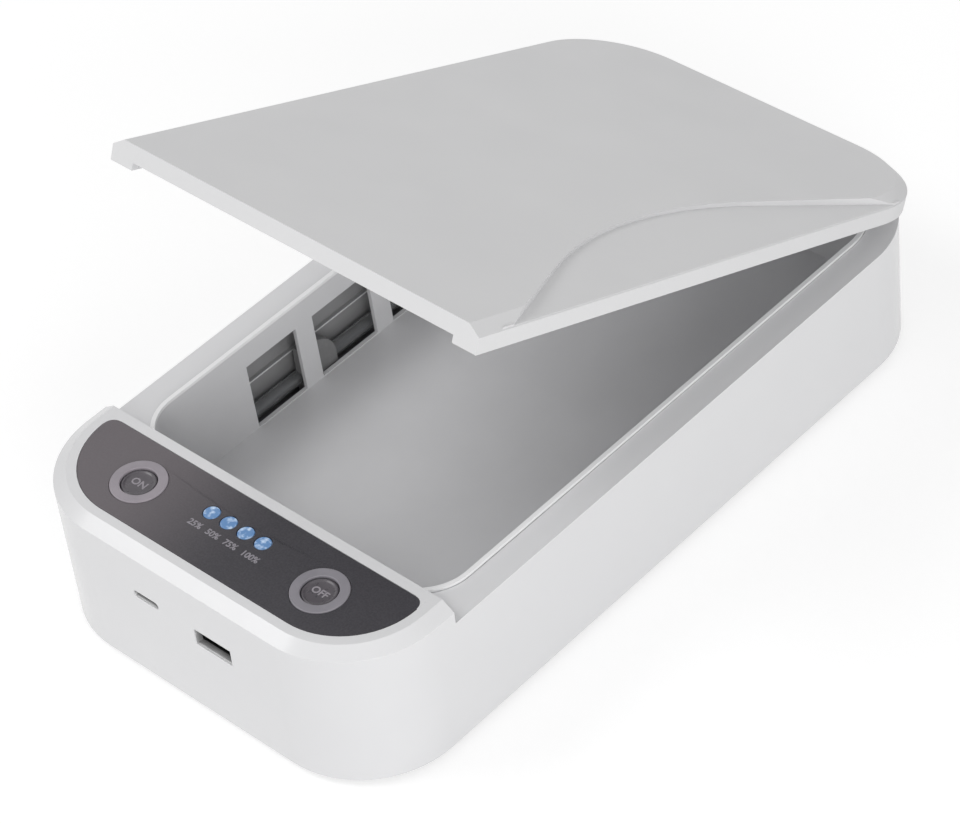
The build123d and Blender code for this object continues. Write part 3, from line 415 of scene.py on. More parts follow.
def makeLightBlue():
    # clear blue windows with pale painted glints in them, which glow with the rest
    material, tree, shader = startMaterial("lightBlue")
    paintedGlints = ranged(tree, noiseOn(tree, lightLook["glintSize"], detail=2), 0, 1, span=lightLook["glintSpan"])
    colour = blended(tree, paintedGlints, lightLook["blue"], lightLook["pale"])
    tree.links.new(colour, shader.inputs["Base Color"])
    tree.links.new(colour, shader.inputs["Emission Color"])
    shader.inputs["Emission Strength"].default_value = lightLook["glow"]
    shader.inputs["Roughness"].default_value = lightLook["rough"]
    bumpOn(tree, shader, noiseOn(tree, lightLook["grain"]), lightLook["depth"])
    return material


quartzLook = {
    "streaks": (300, 30, 300),  # stretch along X, Y, Z
    "clear": (0.90, 0.91, 0.92),
    "cloudy": (0.82, 0.83, 0.85),
    "rough": (0.16, 0.22),
    "transmission": 0.93,  # the rest is a faint haze on the glass
    "index": 1.46,
    "depth": 0.0001 * mm,
}


def makeQuartz():
    material, tree, shader = startMaterial("lampQuartz")
    streaks = noiseOn(tree, 1, detail=2, stretch=quartzLook["streaks"])
    colour = blended(tree, ranged(tree, streaks, 0, 1), quartzLook["clear"], quartzLook["cloudy"])
    tree.links.new(colour, shader.inputs["Base Color"])
    tree.links.new(ranged(tree, streaks, *quartzLook["rough"]), shader.inputs["Roughness"])
    shader.inputs["Transmission Weight"].default_value = quartzLook["transmission"]
    shader.inputs["IOR"].default_value = quartzLook["index"]
    bumpOn(tree, shader, streaks, quartzLook["depth"])
    return material


boardLook = {
    "mask": (0.012, 0.085, 0.035),
    "copper": (0.035, 0.16, 0.07),
    "run": 6 * mm,  # how far apart the copper runs lie
    "runWidth": 0.06,
    "runBlur": 0.1,
    "haze": 3 * mm,
    "rough": (0.25, 0.40),
    "depth": 0.03 * mm,
}


def makeBoardGreen():
    # solder mask over copper runs, which stand a little proud and show paler
    material, tree, shader = startMaterial("boardGreen")
    coords = addNode(tree, "ShaderNodeTexCoord")
    mapping = addNode(tree, "ShaderNodeMapping")
    mapping.inputs["Scale"].default_value = [1 / boardLook["run"]] * 3
    runs = addNode(tree, "ShaderNodeTexBrick", {
        "Scale": 1.0, "Mortar Size": boardLook["runWidth"], "Mortar Smooth": boardLook["runBlur"],
        "Color1": (0, 0, 0, 1), "Color2": (0, 0, 0, 1), "Mortar": (1, 1, 1, 1)})
    tree.links.new(coords.outputs["Object"], mapping.inputs["Vector"])
    tree.links.new(mapping.outputs["Vector"], runs.inputs["Vector"])
    colour = blended(tree, runs.outputs["Color"], boardLook["mask"], boardLook["copper"])
    tree.links.new(colour, shader.inputs["Base Color"])
    haze = noiseOn(tree, boardLook["haze"])
    tree.links.new(ranged(tree, haze, *boardLook["rough"]), shader.inputs["Roughness"])
    bumpOn(tree, shader, runs.outputs["Color"], boardLook["depth"])
    return material


finishes["panelDark"] = makePanelDark()
finishes["reflectorMetal"] = makeReflectorSheet()
finishes["lightBlue"] = makeLightBlue()
finishes["lampQuartz"] = makeQuartz()
finishes["boardGreen"] = makeBoardGreen()

slotFinish = {
    "case_white": "caseWhite", "cover_white": "coverWhite", "tray_white": "trayWhitePaintedShadeAndHighlight",
    "panel_dark": "panelDark", "ring_grey": "ringGrey", "button_dark": "capDark",
    "light_blue": "lightBlue", "led_white": "ledBody",
    "board_green": "boardGreen", "socket_steel": "socketSteel", "tongue_grey": "tongueDark",
    "switch_black": "switchBlack", "plunger_grey": "plungerGrey", "lamp_quartz": "lampQuartz",
    "holder_white": "holderWhite", "reflector_metal": "reflectorMetal", "liner_white": "linerWhite",
    "screw_steel": "screwSteel", "magnet_nickel": "magnetNickel", "foot_rubber": "footRubber",
    "core_dark": "windingDark", "capacitor_sleeve": "sleeveBlue",
}
slotOf = {part["node"]: part["material_slot"] for part in frame["record"]["subparts"]}
# the left ring takes the ring grey with painted light
ownFinish = {"lid_shell": "lidWhite", "left_ring_guide": "ringGreyPaintedLighter"}
for side in ("left", "right"):
    # the lamp clips take the grey with painted shade
    for end in ("front", "rear"):
        ownFinish[side + "_lamp_clip_" + end] = "clipPaintedShadeGrey"


def finishOf(node):
    return finishes[ownFinish.get(node) or slotFinish[slotOf[node]]]


def dressNodes():
    for name, piece in nodes.items():
        if not piece.material_slots:
            piece.data.materials.append(None)
        for place in piece.material_slots:
            place.material = finishOf(name)


dressNodes()
print("finishes made:", len(finishes))


edges = {  # how far each moulded edge is rounded, in how many steps
    "base_shell": (0.70 * mm, 3),
    "lid_shell": (0.60 * mm, 3),
    "lid_liner": (0.35 * mm, 2),
    "inner_tray": (0.40 * mm, 3),
    "bottom_cover": (0.30 * mm, 2),
    "control_panel": (0.12 * mm, 2),
    "left_ring_guide": (0.25 * mm, 3),
    "right_ring_guide": (0.25 * mm, 3),
    "led_light_pipe": (0.20 * mm, 3),
    "status_leds": (0.20 * mm, 2),
    "usb_a_socket": (0.08 * mm, 2),
    "micro_usb_socket": (0.08 * mm, 2),
    "usb_a_tongue": (0.15 * mm, 2),
    "micro_usb_tongue": (0.08 * mm, 2),
    "hinge_pin_left": (0.15 * mm, 2),
    "hinge_pin_right": (0.15 * mm, 2),
    "lid_magnet": (0.20 * mm, 2),
    "ballast_transformer": (0.50 * mm, 2),
}
for side in ("left", "right"):
    edges[side + "_tact_switch"] = (0.15 * mm, 2)
    edges[side + "_switch_plunger"] = (0.15 * mm, 2)
    for end in ("front", "rear"):
        edges[side + "_lamp_clip_" + end] = (0.30 * mm, 3)
        edges[side + "_lamp_holder_" + end] = (0.30 * mm, 2)
roundedFrom = radians(28)  # edges flatter than this stay as they are
smoothBelow = radians(35)
weldWithin = 0.001 * mm
flatWithin = radians(0.3)
levelFrom = 0.9999  # how far up a level face's normal points
flatTopped = ("control_panel", "base_shell")  # their level faces are shaded quite flat


def bakeShape(piece):
    # the piece's evaluated shape as a plain mesh
    bpy.context.view_layer.update()
    seen = piece.evaluated_get(bpy.context.evaluated_depsgraph_get())
    return bpy.data.meshes.new_from_object(seen)


def smoothed(mesh):
    mesh.shade_smooth()
    mesh.set_sharp_from_angle(angle=smoothBelow)
    return mesh


def addPiece(name, mesh, body, finish=None, replaced=()):
    if finish:
        mesh.materials.clear()
        mesh.materials.append(finish)
    piece = bpy.data.objects.new(name, mesh)
    collection.objects.link(piece)
    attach(piece, body)
    if replaced:
        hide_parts(*replaced)
    return piece


def roundEdges(node, width, steps):
    mesh = nodes[node].data.copy()
    work = bmesh.new()
    work.from_mesh(mesh)
    bmesh.ops.remove_doubles(work, verts=work.verts, dist=weldWithin)
    bmesh.ops.dissolve_limit(work, angle_limit=flatWithin, verts=work.verts, edges=work.edges)
    bmesh.ops.connect_verts_concave(work, faces=work.faces)
    for face in work.faces:
        face.smooth = True
    work.to_mesh(mesh)
    work.free()
    blank = bpy.data.objects.new(node + "_blank", mesh)
    collection.objects.link(blank)
    bevel = blank.modifiers.new("round", "BEVEL")
    bevel.width = width
    bevel.segments = steps
    bevel.limit_method = "ANGLE"
    bevel.angle_limit = roundedFrom
    bevel.miter_outer = "MITER_ARC"
    bevel.use_clamp_overlap = True
    blank.modifiers.new("flatten", "WEIGHTED_NORMAL").weight = 100
    shaped = bakeShape(blank)
    bpy.data.objects.remove(blank)
    if node in flatTopped:
        normals = [normal.vector.copy() for normal in shaped.corner_normals]
        for face in shaped.polygons:
            if face.normal.z > levelFrom:
                for place in face.loop_indices:
                    normals[place] = Vector((0, 0, 1))
        shaped.normals_split_custom_set(normals)
    return addPiece(node + "_moulded", shaped, bodyOf[node], finishOf(node), [node])


moulded = {node: roundEdges(node, *sizes) for node, sizes in edges.items()}
print("moulded pieces:", len(moulded))

corner = {  # the shell's webs that round the panel's two rear corners
    "radius": 3.0 * mm,
    "reach": 0.15 * mm,  # past the panel, to the wall of its pocket
    "proud": 0.03 * mm,
    "steps": 10,
}
skirt = {  # closes the slot under the front block's rear wall, beside the tray
    "outline": [(44.6, -80.92), (59.0, -80.92), (59.0, -82.60), (44.9, -82.60)],  # millimetres, on the right
    "low": 40.40 * mm,
    "high": 41.60 * mm,
    "edge": 0.12 * mm,
}


def upright(name, outline, low, high):
    # a solid with this outline, going anticlockwise, between two heights
    work = bmesh.new()
    floor = [work.verts.new((x, y, low)) for x, y in outline]
    roof = [work.verts.new((x, y, high)) for x, y in outline]
    work.faces.new(floor[::-1])
    work.faces.new(roof)
    for step in range(len(outline)):
        following = (step + 1) % len(outline)
        work.faces.new((floor[step], floor[following], roof[following], roof[step]))
    bmesh.ops.connect_verts_concave(work, faces=work.faces)
    mesh = bpy.data.meshes.new(name)
    work.to_mesh(mesh)
    work.free()
    return mesh


def makeCorner(side, outwards):
    low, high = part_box("control_panel")
    radius = corner["radius"]
    reach = corner["reach"]
    across = high.x - radius
    along = high.y - radius
    outline = [(high.x + reach, along), (high.x + reach, high.y + reach), (across, high.y + reach)]
    for step in range(corner["steps"] + 1):
        turn = pi / 2 * (1 - step / corner["steps"])
        outline.append((across + radius * cos(turn), along + radius * sin(turn)))
    if outwards < 0:
        outline = [(-x, y) for x, y in reversed(outline)]
    mesh = upright(side + "_panel_corner", outline, low.z, high.z + corner["proud"])
    addPiece(side + "_panel_corner", mesh, bodyOf["base_shell"], finishes["caseWhite"])


def makeSkirt(side, outwards):
    outline = [(outwards * x * mm, y * mm) for x, y in skirt["outline"]]
    if outwards > 0:
        outline.reverse()
    blank = bpy.data.objects.new(side + "_blank", upright(side, outline, skirt["low"], skirt["high"]))
    collection.objects.link(blank)
    bevel = blank.modifiers.new("round", "BEVEL")
    bevel.width = skirt["edge"]
    bevel.segments = 2
    shaped = smoothed(bakeShape(blank))
    bpy.data.objects.remove(blank)
    addPiece(side + "_block_skirt", shaped, bodyOf["base_shell"], finishes["caseWhite"])


for side, outwards in (("left", -1), ("right", 1)):
    makeCorner(side, outwards)
    makeSkirt(side, outwards)
print("panel corners rounded, skirts set")


def spun(outlines, steps):
    # a round solid along Z from its half outlines, radius and height, going up on the outside
    work = bmesh.new()
    for outline in outlines:
        rings = []
        for radius, height in outline:
            if radius == 0:
                rings.append([work.verts.new((0, 0, height))] * steps)
                continue
            turns = [2 * pi * step / steps for step in range(steps)]
            rings.append([work.verts.new((radius * cos(turn), radius * sin(turn), height)) for turn in turns])
        for lower, upper in zip(rings, rings[1:]):
            for step in range(steps):
                following = (step + 1) % steps
                corners = [lower[step], lower[following], upper[following], upper[step]]
                work.faces.new(list(dict.fromkeys(corners)))
    mesh = bpy.data.meshes.new("spun")
    work.to_mesh(mesh)
    work.free()
    return mesh


def undersideOf(node):
    # the middle of the node's underside
    low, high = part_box(node)
    return (low.x + high.x) / 2, (low.y + high.y) / 2, low.z


cap = {
    "radius": 4.70 * mm,
    "flangeRadius": 6.05 * mm,
    "flangeHeight": 1.2 * mm,
    "edge": 0.45 * mm,  # the rounded rim
    "dishRadius": 3.5 * mm,
    "dishDepth": 0.30 * mm,
    "edgeSteps": 5,
    "dishSteps": 6,
    "steps": 72,
}


def makeCap(side):
    node = side + "_button"
    low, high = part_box(node)
    height = high.z - low.z
    rim = cap["radius"]
    edge = cap["edge"]
    flange = cap["flangeRadius"]
    flangeTop = cap["flangeHeight"]
    dish = cap["dishDepth"]
    outline = [(0, 0), (flange, 0), (flange, flangeTop), (rim, flangeTop)]
    for step in range(cap["edgeSteps"] + 1):
        turn = pi / 2 * step / cap["edgeSteps"]
        outline.append((rim - edge + edge * cos(turn), height - edge + edge * sin(turn)))
    for step in range(1, cap["dishSteps"] + 1):
        share = step / cap["dishSteps"]
        ease = share * share * (3 - 2 * share)
        outline.append((rim - edge + (cap["dishRadius"] - rim + edge) * share, height - dish * ease))
    outline.append((0, height - dish))
    mesh = smoothed(spun([outline], cap["steps"]))
    mesh.transform(Matrix.Translation(undersideOf(node)))
    return addPiece(side + "_button_cap", mesh, bodyOf[node], finishOf(node), [node])


foot = {
    "radius": 5.0 * mm,
    "edge": 0.30 * mm,
    "cupRadius": 3.4 * mm,  # the hollow underneath
    "cupDepth": 0.45 * mm,
    # points on the hollow's wall: how far past its radius, how high
    "cupWall": [(-0.60 * mm, 0.45 * mm), (-0.20 * mm, 0.315 * mm), (0, 0.10 * mm), (0.15 * mm, 0)],
    "edgeSteps": 4,
    "steps": 48,
}


def makeFoot(node):
    low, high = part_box(node)
    height = high.z - low.z
    rim = foot["radius"]
    edge = foot["edge"]
    outline = [(0, foot["cupDepth"])]
    outline += [(foot["cupRadius"] + past, up) for past, up in foot["cupWall"]]
    for step in range(foot["edgeSteps"] + 1):
        turn = pi / 2 * (step / foot["edgeSteps"] - 1)
        outline.append((rim - edge + edge * cos(turn), edge + edge * sin(turn)))
    outline += [(rim, height), (0, height)]
    mesh = smoothed(spun([outline], foot["steps"]))
    mesh.transform(Matrix.Translation(undersideOf(node)))
    return addPiece(node + "_rubber", mesh, bodyOf[node], finishOf(node), [node])


lamp = {
    "wall": 0.35 * mm,
    "dome": 1.8 * mm,  # how far each end is drawn in
    "domeSteps": 7,
    "steps": 40,
    "coilSpace": 5.5 * mm,  # from the end of the tube to its coil
    "coilRadius": 0.62 * mm,
    "coilLength": 3.2 * mm,
    "coilTurns": 6.0,
    "wire": 0.11 * mm,
    "leadLength": 6.0 * mm,
}


def tubeOutline(radius, start, stop, dome):
    steps = lamp["domeSteps"]
    turns = [pi / 2 * step / steps for step in range(1, steps + 1)]
    outline = [(0, start)]
    for turn in turns:
        outline.append((radius * sin(turn), start + dome * (1 - cos(turn))))
    for turn in reversed(turns):
        outline.append((radius * sin(turn), stop - dome * (1 - cos(turn))))
    return outline + [(0, stop)]


def alongY(place):
    return Matrix.Translation(place) @ Matrix.Rotation(-pi / 2, 4, "X")


def makeTube(side):
    node = side + "_uv_lamp"
    low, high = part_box(node)
    radius = (high.z - low.z) / 2
    length = high.y - low.y
    outside = tubeOutline(radius, 0, length, lamp["dome"])
    inside = tubeOutline(radius - lamp["wall"], lamp["wall"], length - lamp["wall"], lamp["dome"])
    mesh = smoothed(spun([outside, inside[::-1]], lamp["steps"]))
    mesh.transform(alongY(((low.x + high.x) / 2, low.y, (low.z + high.z) / 2)))
    return addPiece(side + "_lamp_tube", mesh, bodyOf[node], finishOf(node), [node])


caps = {side: makeCap(side) for side in ("left", "right")}
feet = [makeFoot(node) for node in nodes if node.startswith("foot_")]
tubes = {side: makeTube(side) for side in ("left", "right")}
print("turned pieces:", len(caps) + len(feet) + len(tubes))


def startTree(name, inputs):
    tree = bpy.data.node_groups.new(name, "GeometryNodeTree")
    tree.interface.new_socket("Geometry", in_out="INPUT", socket_type="NodeSocketGeometry")
    for label, kind in inputs.items():
        tree.interface.new_socket(label, in_out="INPUT", socket_type="NodeSocket" + kind)
    tree.interface.new_socket("Geometry", in_out="OUTPUT", socket_type="NodeSocketGeometry")
    return tree, addNode(tree, "NodeGroupInput").outputs, addNode(tree, "NodeGroupOutput").inputs


def addLinked(tree, kind, links, values=None, **settings):
    # a node whose named sockets are fed by these outputs
    node = addNode(tree, kind, values, **settings)
    for socket, source in links.items():
        tree.links.new(source, node.inputs[socket])
    return node


def sized(tree, first, second, operation="MULTIPLY"):
    node = addNode(tree, "ShaderNodeMath", operation=operation)
    for socket, source in zip(node.inputs, (first, second)):
        feed(tree, socket, source)
    return node.outputs[0]


def vectorOf(tree, x=0.0, y=0.0, z=0.0):
    node = addNode(tree, "ShaderNodeCombineXYZ")
    for socket, source in zip(node.inputs, (x, y, z)):
        feed(tree, socket, source)
    return node.outputs[0]


def endTree(tree, shape, given, result, spin=None):
    # sets the shape on every point, turned as asked, as one plain mesh with its finish
    placed = addLinked(tree, "GeometryNodeInstanceOnPoints",
                       {"Points": given["Geometry"], "Instance": shape, "Rotation": given["Turn"]}).outputs[0]
    if spin:
        chance = addNode(tree, "FunctionNodeRandomValue", {"Seed": spin}, data_type="FLOAT")
        turn = vectorOf(tree, z=sized(tree, chance.outputs[1], 2 * pi))
        spread = addLinked(tree, "GeometryNodeRotateInstances", {"Instances": placed, "Rotation": turn})
        placed = spread.outputs[0]
    solid = addLinked(tree, "GeometryNodeRealizeInstances", {"Geometry": placed}).outputs[0]
    dressed = addLinked(tree, "GeometryNodeSetMaterial", {"Geometry": solid, "Material": given["Finish"]})
    tree.links.new(dressed.outputs[0], result["Geometry"])


def grow(name, tree, points, values):
    # runs a tree on these points and keeps what it makes
    mesh = bpy.data.meshes.new(name)
    mesh.from_pydata(points, [], [])
    seeds = bpy.data.objects.new(name + "_seeds", mesh)
    collection.objects.link(seeds)
    modifier = seeds.modifiers.new(tree.name, "NODES")
    modifier.node_group = tree
    sockets = {item.name: item.identifier for item in tree.interface.items_tree if item.in_out == "INPUT"}
    for label, value in values.items():
        modifier[sockets[label]] = value
    grown = bakeShape(seeds)
    bpy.data.objects.remove(seeds)
    return smoothed(grown)


screwShape = {  # shares of each screw's sizes, then how many sides, and a seed for its turn
    "crown": 0.74,
    "sink": -0.49,
    "slotLength": 1.15,
    "slotDepth": 0.6,
    "headSides": 28,
    "shankSides": 16,
    "seed": 7,
}


def makeScrewTree():
    # a pan head with a cross recess, standing on its seat, and a plain shank below
    tree, given, result = startTree("crossHeadScrews", {
        "Head Radius": "Float", "Head Height": "Float", "Shank Radius": "Float", "Shank Length": "Float",
        "Slot Width": "Float", "Slot Depth": "Float", "Turn": "Vector", "Finish": "Material"})
    headRadius = given["Head Radius"]
    half = sized(tree, given["Head Height"], 0.5)
    sides = {"Vertices": screwShape["headSides"]}
    rim = addLinked(tree, "GeometryNodeMeshCone", {
        "Radius Top": headRadius, "Radius Bottom": headRadius, "Depth": half}, sides)
    crown = addLinked(tree, "GeometryNodeMeshCone", {
        "Radius Top": sized(tree, headRadius, screwShape["crown"]), "Radius Bottom": headRadius,
        "Depth": half}, sides)
    raised = addLinked(tree, "GeometryNodeTransform",
                       {"Geometry": crown.outputs["Mesh"], "Translation": vectorOf(tree, z=half)})
    shank = addLinked(tree, "GeometryNodeMeshCylinder",
                      {"Radius": given["Shank Radius"], "Depth": given["Shank Length"]},
                      {"Vertices": screwShape["shankSides"]})
    sunk = addLinked(tree, "GeometryNodeTransform", {
        "Geometry": shank.outputs["Mesh"],
        "Translation": vectorOf(tree, z=sized(tree, given["Shank Length"], screwShape["sink"]))})
    whole = addNode(tree, "GeometryNodeMeshBoolean", operation="UNION")
    for piece in (rim.outputs["Mesh"], raised.outputs[0], sunk.outputs[0]):
        tree.links.new(piece, whole.inputs["Mesh 2"])
    cut = addNode(tree, "GeometryNodeMeshBoolean", operation="DIFFERENCE")
    tree.links.new(whole.outputs[0], cut.inputs["Mesh 1"])
    slotLength = sized(tree, headRadius, screwShape["slotLength"])
    slotWidth = given["Slot Width"]
    depth = sized(tree, given["Slot Depth"], 2.0)  # half of each blade stands above the head
    for size in (vectorOf(tree, slotLength, slotWidth, depth), vectorOf(tree, slotWidth, slotLength, depth)):
        blade = addLinked(tree, "GeometryNodeMeshCube", {"Size": size})
        lifted = addLinked(tree, "GeometryNodeTransform", {
            "Geometry": blade.outputs["Mesh"], "Translation": vectorOf(tree, z=given["Head Height"])})
        tree.links.new(lifted.outputs[0], cut.inputs["Mesh 2"])
    endTree(tree, cut.outputs[0], given, result, spin=screwShape["seed"])
    return tree


lidLean = radians(23.2)  # how far the lid stands open
largeScrew = {"radius": 2.15 * mm, "height": 1.0 * mm, "shank": 1.2 * mm, "slot": 0.62 * mm}
smallScrew = {"radius": 1.85 * mm, "height": 1.1 * mm, "shank": 0.92 * mm, "slot": 0.50 * mm}
screws = {  # where each node's heads point and how large the screws are
    "case_screws": ((0, 0, -1), largeScrew),
    "tray_screws": ((0, 0, -1), largeScrew),
    "board_screws": ((0, 0, -1), smallScrew),
    "ballast_screws": ((0, 0, 1), smallScrew),
    "lid_screws": ((0, -sin(lidLean), -cos(lidLean)), smallScrew),
}


def middleOf(points):
    return sum(points, Vector()) / len(points)


def islandsOf(node):
    # the corner points of each separate solid in a node
    work = bmesh.new()
    work.from_mesh(nodes[node].data)
    bmesh.ops.remove_doubles(work, verts=work.verts, dist=weldWithin)
    left = set(work.verts)
    found = []
    while left:
        queue = [left.pop()]
        corners = []
        while queue:
            vert = queue.pop()
            corners.append(vert.co.copy())
            for edge in vert.link_edges:
                other = edge.other_vert(vert)
                if other in left:
                    left.remove(other)
                    queue.append(other)
        found.append(corners)
    work.free()
    return sorted(found, key=lambda points: tuple(round(value, 5) for value in middleOf(points)))


def makeScrews(node, direction, sizes, tree):
    head = Vector(direction)
    seats = []
    for points in islandsOf(node):
        middle = middleOf(points)
        reach = [point.dot(head) for point in points]
        seats.append(middle + head * (max(reach) - sizes["height"] - middle.dot(head)))
        length = max(reach) - min(reach) - sizes["height"]
    turn = head.to_track_quat("Z", "Y").to_euler()
    mesh = grow(node, tree, seats, {
        "Head Radius": sizes["radius"], "Head Height": sizes["height"], "Shank Radius": sizes["shank"],
        "Shank Length": length, "Slot Width": sizes["slot"],
        "Slot Depth": sizes["height"] * screwShape["slotDepth"], "Turn": tuple(turn),
        "Finish": finishOf(node)})
    return addPiece(node + "_cross_head", mesh, bodyOf[node], replaced=[node])


screwTree = makeScrewTree()
for node, (direction, sizes) in screws.items():
    makeScrews(node, direction, sizes, screwTree)
print("screws set:", len(screws))


def makeContactTree():
    # one row of flat springs that lie under a tongue
    tree, given, result = startTree("contactRow", {
        "Count": "Int", "Pitch": "Float", "Size": "Vector", "Turn": "Vector", "Finish": "Material"})
    strip = addLinked(tree, "GeometryNodeMeshCube", {"Size": given["Size"]})
    back = sized(tree, sized(tree, given["Count"], 1.0, "SUBTRACT"), -0.5)
    row = addLinked(tree, "GeometryNodeMeshLine", {
        "Count": given["Count"], "Offset": vectorOf(tree, given["Pitch"]),
        "Start Location": vectorOf(tree, sized(tree, back, given["Pitch"]))}, mode="OFFSET")
    many = addLinked(tree, "GeometryNodeInstanceOnPoints", {
        "Points": row.outputs[0], "Instance": strip.outputs["Mesh"]})
    endTree(tree, many.outputs[0], given, result)
    return tree


contacts = {
    "usb_a_tongue": {"count": 4, "pitch": 2.4 * mm, "width": 1.0 * mm, "length": 8.0 * mm,
                     "thick": 0.12 * mm, "back": 1.2 * mm},
    "micro_usb_tongue": {"count": 5, "pitch": 0.65 * mm, "width": 0.32 * mm, "length": 3.4 * mm,
                         "thick": 0.08 * mm, "back": 0.5 * mm},
}
contactTree = makeContactTree()
for node, row in contacts.items():
    low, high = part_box(node)
    place = ((low.x + high.x) / 2, low.y + row["back"] + row["length"] / 2, low.z - row["thick"] / 2)
    mesh = grow(node, contactTree, [place], {
        "Count": row["count"], "Pitch": row["pitch"], "Size": (row["width"], row["length"], row["thick"]),
        "Turn": (0.0, 0.0, 0.0), "Finish": finishes["contactGold"]})
    addPiece(node.replace("_tongue", "_contacts"), mesh, bodyOf[node])
print("contacts laid:", len(contacts))


def makeCoilTree():
    # a lamp's electrode: a small coil on its straight lead
    tree, given, result = startTree("lampCoils", {
        "Radius": "Float", "Length": "Float", "Turns": "Float", "Wire": "Float", "Lead": "Float",
        "Turn": "Vector", "Finish": "Material"})
    spiral = addLinked(tree, "GeometryNodeCurveSpiral", {
        "Rotations": given["Turns"], "Start Radius": given["Radius"], "End Radius": given["Radius"],
        "Height": given["Length"]}, {"Resolution": 14})
    wire = addLinked(tree, "GeometryNodeCurvePrimitiveCircle", {"Radius": given["Wire"]}, {"Resolution": 7})
    coil = addLinked(tree, "GeometryNodeCurveToMesh", {
        "Curve": spiral.outputs[0], "Profile Curve": wire.outputs[0]}, {"Fill Caps": True})
    lead = addLinked(tree, "GeometryNodeMeshCylinder", {
        "Radius": sized(tree, given["Wire"], 1.6), "Depth": given["Lead"]}, {"Vertices": 12})
    both = addNode(tree, "GeometryNodeJoinGeometry")
    tree.links.new(coil.outputs[0], both.inputs[0])
    tree.links.new(lead.outputs["Mesh"], both.inputs[0])
    endTree(tree, both.outputs[0], given, result)
    return tree


coilTree = makeCoilTree()
lampBoxes = [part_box(side + "_uv_lamp") for side in ("left", "right")]
for end, turn in (("front", -pi / 2), ("rear", pi / 2)):
    places = []
    for low, high in lampBoxes:
        along = low.y + lamp["coilSpace"] if end == "front" else high.y - lamp["coilSpace"]
        places.append(((low.x + high.x) / 2, along, (low.z + high.z) / 2))
    mesh = grow("coils", coilTree, places, {
        "Radius": lamp["coilRadius"], "Length": lamp["coilLength"], "Turns": lamp["coilTurns"],
        "Wire": lamp["wire"], "Lead": lamp["leadLength"], "Turn": (turn, 0.0, 0.0),
        "Finish": finishes["electrodeGrey"]})
    addPiece("lamp_electrodes_" + end, mesh, bodyOf["left_uv_lamp"])
print("lamp coils grown")

collars = {  # the sockets' bright lips in the front wall's openings
    "usb_a_socket": {"width": 12.62 * mm, "height": 5.22 * mm, "corner": 0.25 * mm, "wall": 0.30 * mm,
                     "sunk": 0.30 * mm, "depth": 2.05 * mm, "rise": 2.85 * mm},
    "micro_usb_socket": {"width": 8.82 * mm, "height": 2.12 * mm, "corner": 1.05 * mm, "wall": 0.26 * mm,
                         "sunk": 0.35 * mm, "depth": 2.05 * mm, "rise": 1.30 * mm},
}
collarFlare = 0.45  # how much of its wall the mouth opens by
leastCorner = 0.05 * mm
caseLow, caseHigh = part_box("base_shell")


def roundedOutline(width, height, corner, steps=6):
    halfWidth = width / 2 - corner
    halfHeight = height / 2 - corner
    points = []
    for quarter, (across, up) in enumerate(((1, 1), (-1, 1), (-1, -1), (1, -1))):
        for step in range(steps + 1):
            turn = pi / 2 * (quarter + step / steps)
            points.append((across * halfWidth + corner * cos(turn), up * halfHeight + corner * sin(turn)))
    return points


def shrunkOutline(sizes, by):
    corner = max(sizes["corner"] - by, leastCorner)
    return roundedOutline(sizes["width"] - 2 * by, sizes["height"] - 2 * by, corner)


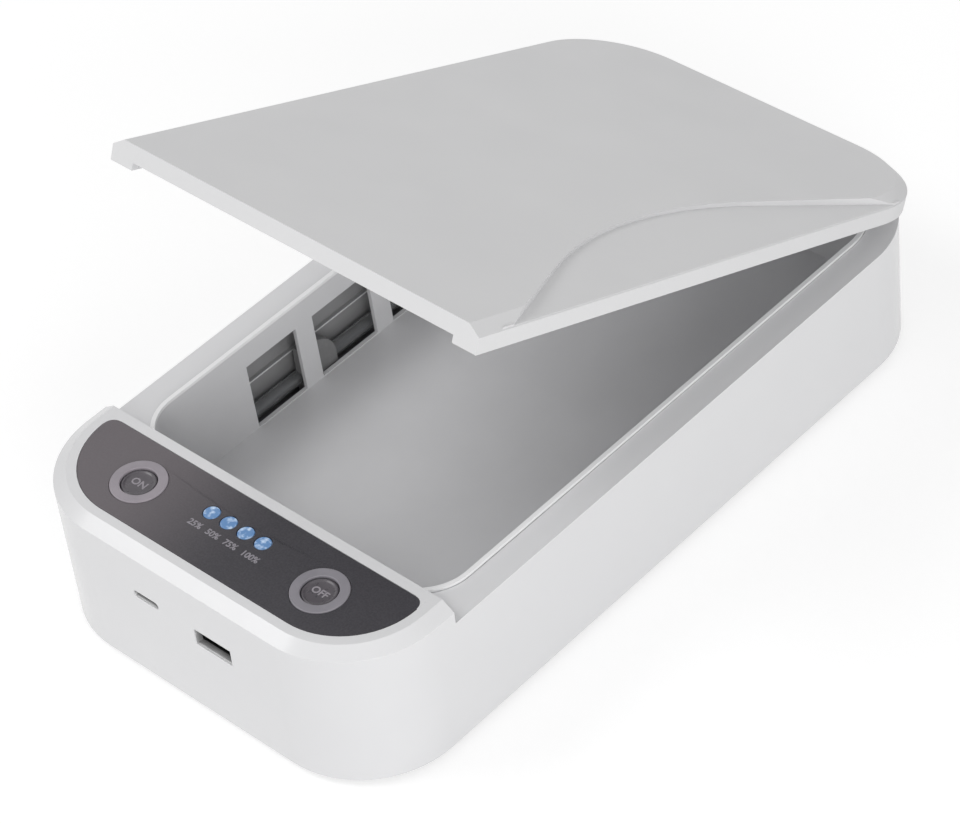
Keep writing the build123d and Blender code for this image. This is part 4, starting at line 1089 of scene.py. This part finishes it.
def makeCollar(node, sizes):
    low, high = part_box(node)
    across = (low.x + high.x) / 2
    up = low.z + sizes["rise"]
    front = caseLow.y + sizes["sunk"]
    back = caseLow.y + sizes["depth"]
    wall = sizes["wall"]
    work = bmesh.new()
    loops = []
    for by, depth in ((0, front), (0, back), (wall, back), (wall, front + wall), (wall * collarFlare, front)):
        outline = shrunkOutline(sizes, by)
        loops.append([work.verts.new((across + x, depth, up + z)) for x, z in outline])
    loops.append(loops[0])
    for first, second in zip(loops, loops[1:]):
        for step in range(len(first)):
            following = (step + 1) % len(first)
            work.faces.new((first[step], first[following], second[following], second[step]))
    bmesh.ops.recalc_face_normals(work, faces=work.faces)
    mesh = bpy.data.meshes.new(node)
    work.to_mesh(mesh)
    work.free()
    name = node.replace("_socket", "_collar")
    addPiece(name, smoothed(mesh), bodyOf[node], finishes["lipSteel"])


for node, sizes in collars.items():
    makeCollar(node, sizes)
print("collars fitted:", len(collars))

caseMiddle = (caseLow.y + caseHigh.y) / 2
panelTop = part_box("control_panel")[1].z
labels = {  # words, letter height, middle across and along the case
    "charge_25": ("25%", 2.6 * mm, -9.5 * mm, -97.3 * mm),
    "charge_50": ("50%", 2.6 * mm, -3.3 * mm, -97.3 * mm),
    "charge_75": ("75%", 2.6 * mm, 2.8 * mm, -97.3 * mm),
    "charge_100": ("100%", 2.6 * mm, 9.7 * mm, -97.3 * mm),
}
capWords = {"left": ("ON", 3.1 * mm), "right": ("OFF", 2.9 * mm)}
printDepth = 0.04 * mm
printLift = printDepth / 4  # its middle above the face, so that it is partly let in
strokeGain = 0.07 * mm  # how much each stroke is thickened on both sides
curveSteps = 4


def printed(words, size, place):
    # flat lettering as a thin solid
    curve = bpy.data.curves.new("words", "FONT")
    curve.body = words
    curve.size = size
    curve.extrude = printDepth / 2
    curve.offset = strokeGain
    curve.resolution_u = curveSteps
    curve.align_x = "CENTER"
    curve.align_y = "CENTER"
    line = bpy.data.objects.new("words", curve)
    collection.objects.link(line)
    mesh = bakeShape(line)
    bpy.data.objects.remove(line)
    mesh.transform(Matrix.Translation(place))
    return mesh


for name, (words, size, across, along) in labels.items():
    mesh = printed(words, size, (across, caseMiddle + along, panelTop + printLift))
    addPiece(name, mesh, bodyOf["control_panel"], finishes["panelPrint"])
for side, (words, size) in capWords.items():
    node = side + "_button"
    low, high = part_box(node)
    dish = high.z - cap["dishDepth"]
    mesh = printed(words, size, ((low.x + high.x) / 2, (low.y + high.y) / 2, dish + printLift))
    addPiece(side + "_button_print", mesh, bodyOf[node], finishes["capPrint"])
print("lettering set:", len(labels) + len(capWords))
